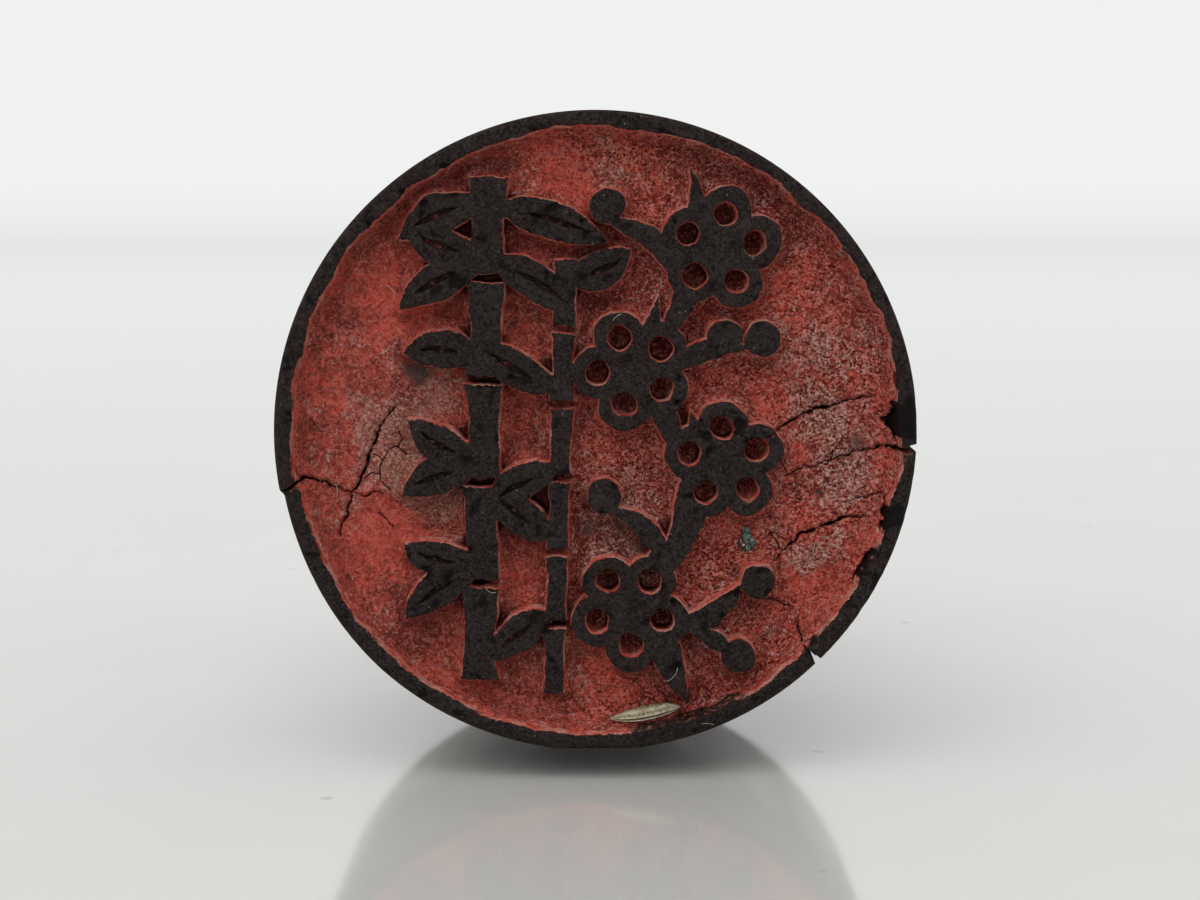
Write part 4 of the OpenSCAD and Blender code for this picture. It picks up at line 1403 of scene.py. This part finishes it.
class SEAL_OT_stage(bpy.types.Operator):
    """Set the pale table, the soft light and the camera"""

    bl_idname = "seal.stage"
    bl_label = "Table and camera"

    def execute(self, context):
        settings = context.scene.seal_stage
        scene = context.scene
        scene.view_settings.view_transform = "Standard"
        self.sheet("table", -settings.paint * MM, self.table_paint(settings))
        self.sheet("table_glaze", -settings.glaze * MM, self.glaze_paint(settings))
        self.room(scene)
        self.window(scene)
        self.camera(scene, settings)
        return {"FINISHED"}

    def sheet(self, name, height, material):
        """A wide level sheet of the table."""
        half = 6.0
        corners = np.array([(x * half, y * half, height) for x, y in ((-1, -1), (1, -1), (1, 1), (-1, 1))])
        mesh = new_mesh(name, corners, [(0, 1, 2, 3)])
        mesh.materials.append(material)
        top = bpy.data.objects.new(name, mesh)
        bpy.context.scene.collection.objects.link(top)

    def faded(self, p, shader, start, end):
        """Lets the table run out softly into the wall behind it."""
        far = p.axes(p.place)["Y"].between(start, end)
        clear = p.node("ShaderNodeBsdfTransparent")[0]
        ended = p.node("ShaderNodeMixShader", {0: far, 1: shader, 2: clear})[0]
        p.node("ShaderNodeOutputMaterial", {"Surface": ended})
        return p.material

    def table_paint(self, settings):
        p = Paint("pale_table")
        table = settings.table
        p.colour = p.mix(p.noise(30.0, 2.0).between(0.3, 0.7), table, tuple(0.96 * c for c in table))
        scuff = p.noise(1.1, 3.0, 0.7, stretch=(5, 1, 1)).between(0.66, 0.74)
        scuff = scuff * p.noise(22.0, 2.0).between(0.50, 0.62)
        p.lay(scuff * 0.35, tuple(0.55 * c for c in table))
        speck = p.cells(9.0)["Distance"].between(0.045, 0.025)
        p.lay(speck * 0.5, tuple(0.35 * c for c in table))
        return self.faded(p, p.node("ShaderNodeBsdfDiffuse", {"Color": p.colour})[0], 0.4, 3.0)

    def glaze_paint(self, settings):
        p = Paint("table_glaze")
        under = p.node("ShaderNodeNewGeometry")["Backfacing"]
        share = p.node("ShaderNodeFresnel", {"IOR": 2.2 - under * (2.2 - 1 / 2.2)})[0]
        clear = p.node("ShaderNodeBsdfTransparent")[0]
        gloss = p.node("ShaderNodeBsdfGlossy", {"Color": (1.0, 1.0, 1.0), "Roughness": settings.gloss})[0]
        return self.faded(p, p.node("ShaderNodeMixShader", {0: share, 1: clear, 2: gloss})[0], 1.5, 5.9)

    def room(self, scene):
        """Even soft light all round, and a pale wall wherever the room itself is seen or mirrored."""
        world = bpy.data.worlds.new("soft_room")
        scene.world = world
        world.use_nodes = True
        g = Graph()
        g.tree = world.node_tree
        g.tree.nodes.clear()
        path = g.node("ShaderNodeLightPath")
        seen = (path["Is Camera Ray"] + path["Is Glossy Ray"] + path["Is Transmission Ray"]).clamped()
        light = g.node("ShaderNodeBackground", {"Color": (1.0, 1.0, 1.0), "Strength": 0.6})[0]
        rise = g.axes(g.node("ShaderNodeTexCoord")["Generated"])["Z"]
        colour = g.mix(rise.between(-0.016, 0.018), (0.775, 0.785, 0.775), (0.875, 0.885, 0.88))
        wall = g.node("ShaderNodeBackground", {"Color": colour, "Strength": 1.0})[0]
        both = g.node("ShaderNodeMixShader", {0: seen, 1: light, 2: wall})[0]
        g.node("ShaderNodeOutputWorld", {"Surface": both})

    def window(self, scene):
        """One broad soft lamp in front of the face, left out of the table's mirror image."""
        lamp = bpy.data.lights.new("window", "AREA")
        lamp.size = 1.3
        lamp.energy = 12.5
        holder = bpy.data.objects.new("window", lamp)
        holder.location = (-0.25, -1.05, 0.95)
        aim = Vector((0, -0.02, 0.015)) - holder.location
        holder.rotation_euler = aim.to_track_quat("-Z", "Y").to_euler()
        holder.visible_glossy = False
        scene.collection.objects.link(holder)

    def camera(self, scene, settings):
        """Puts the face's middle and edge on the pixels where the photograph has them."""
        # Pixels of the photograph: the horizon's row, the middle of the face and its radius
        horizon = 224.0
        middle = (595.4, 434.4)
        disc = 322.0
        pitch = math.atan((PHOTO_HEIGHT / 2 - horizon) / settings.focal)
        away = settings.focal * face.radius * MM / disc
        right = (middle[0] - PHOTO_WIDTH / 2) / settings.focal * away
        above = (PHOTO_HEIGHT / 2 - middle[1]) / settings.focal * away
        forward = Vector((0, math.cos(pitch), -math.sin(pitch)))
        upward = Vector((0, math.sin(pitch), math.cos(pitch)))
        target = Vector((0, face.front, face.axis))
        camera = bpy.data.cameras.new("camera")
        camera.sensor_width = 36.0
        camera.lens = settings.focal / PHOTO_WIDTH * camera.sensor_width
        camera.clip_start = 0.005
        holder = bpy.data.objects.new("camera", camera)
        holder.location = target - forward * away - Vector((right, 0, 0)) - upward * above
        holder.rotation_euler = forward.to_track_quat("-Z", "Y").to_euler()
        scene.collection.objects.link(holder)
        scene.camera = holder


STEPS = (SEAL_OT_block, SEAL_OT_paste, SEAL_OT_grip, SEAL_OT_debris, SEAL_OT_lint, SEAL_OT_stage)


class SEAL_PT_panel(bpy.types.Panel):
    """Lists the steps that dress the stamp."""

    bl_idname = "SEAL_PT_panel"
    bl_label = "Seal stamp"
    bl_space_type = "VIEW_3D"
    bl_region_type = "UI"
    bl_category = "Seal"

    def draw(self, context):
        for step in STEPS:
            self.layout.operator(step.bl_idname)


CLASSES = tuple(group for _, group in SETTINGS) + STEPS + (SEAL_PT_panel,)


def register():
    for cls in CLASSES:
        bpy.utils.register_class(cls)
    for name, group in SETTINGS:
        setattr(bpy.types.Scene, name, PointerProperty(type=group))


def unregister():
    for name, _ in SETTINGS:
        delattr(bpy.types.Scene, name)
    for cls in reversed(CLASSES):
        bpy.utils.unregister_class(cls)


def main():
    register()
    bpy.ops.seal.block()
    bpy.ops.seal.paste()
    bpy.ops.seal.grip()
    bpy.ops.seal.debris()
    bpy.ops.seal.lint()
    bpy.ops.seal.stage()


if __name__ == "__main__":
    main()
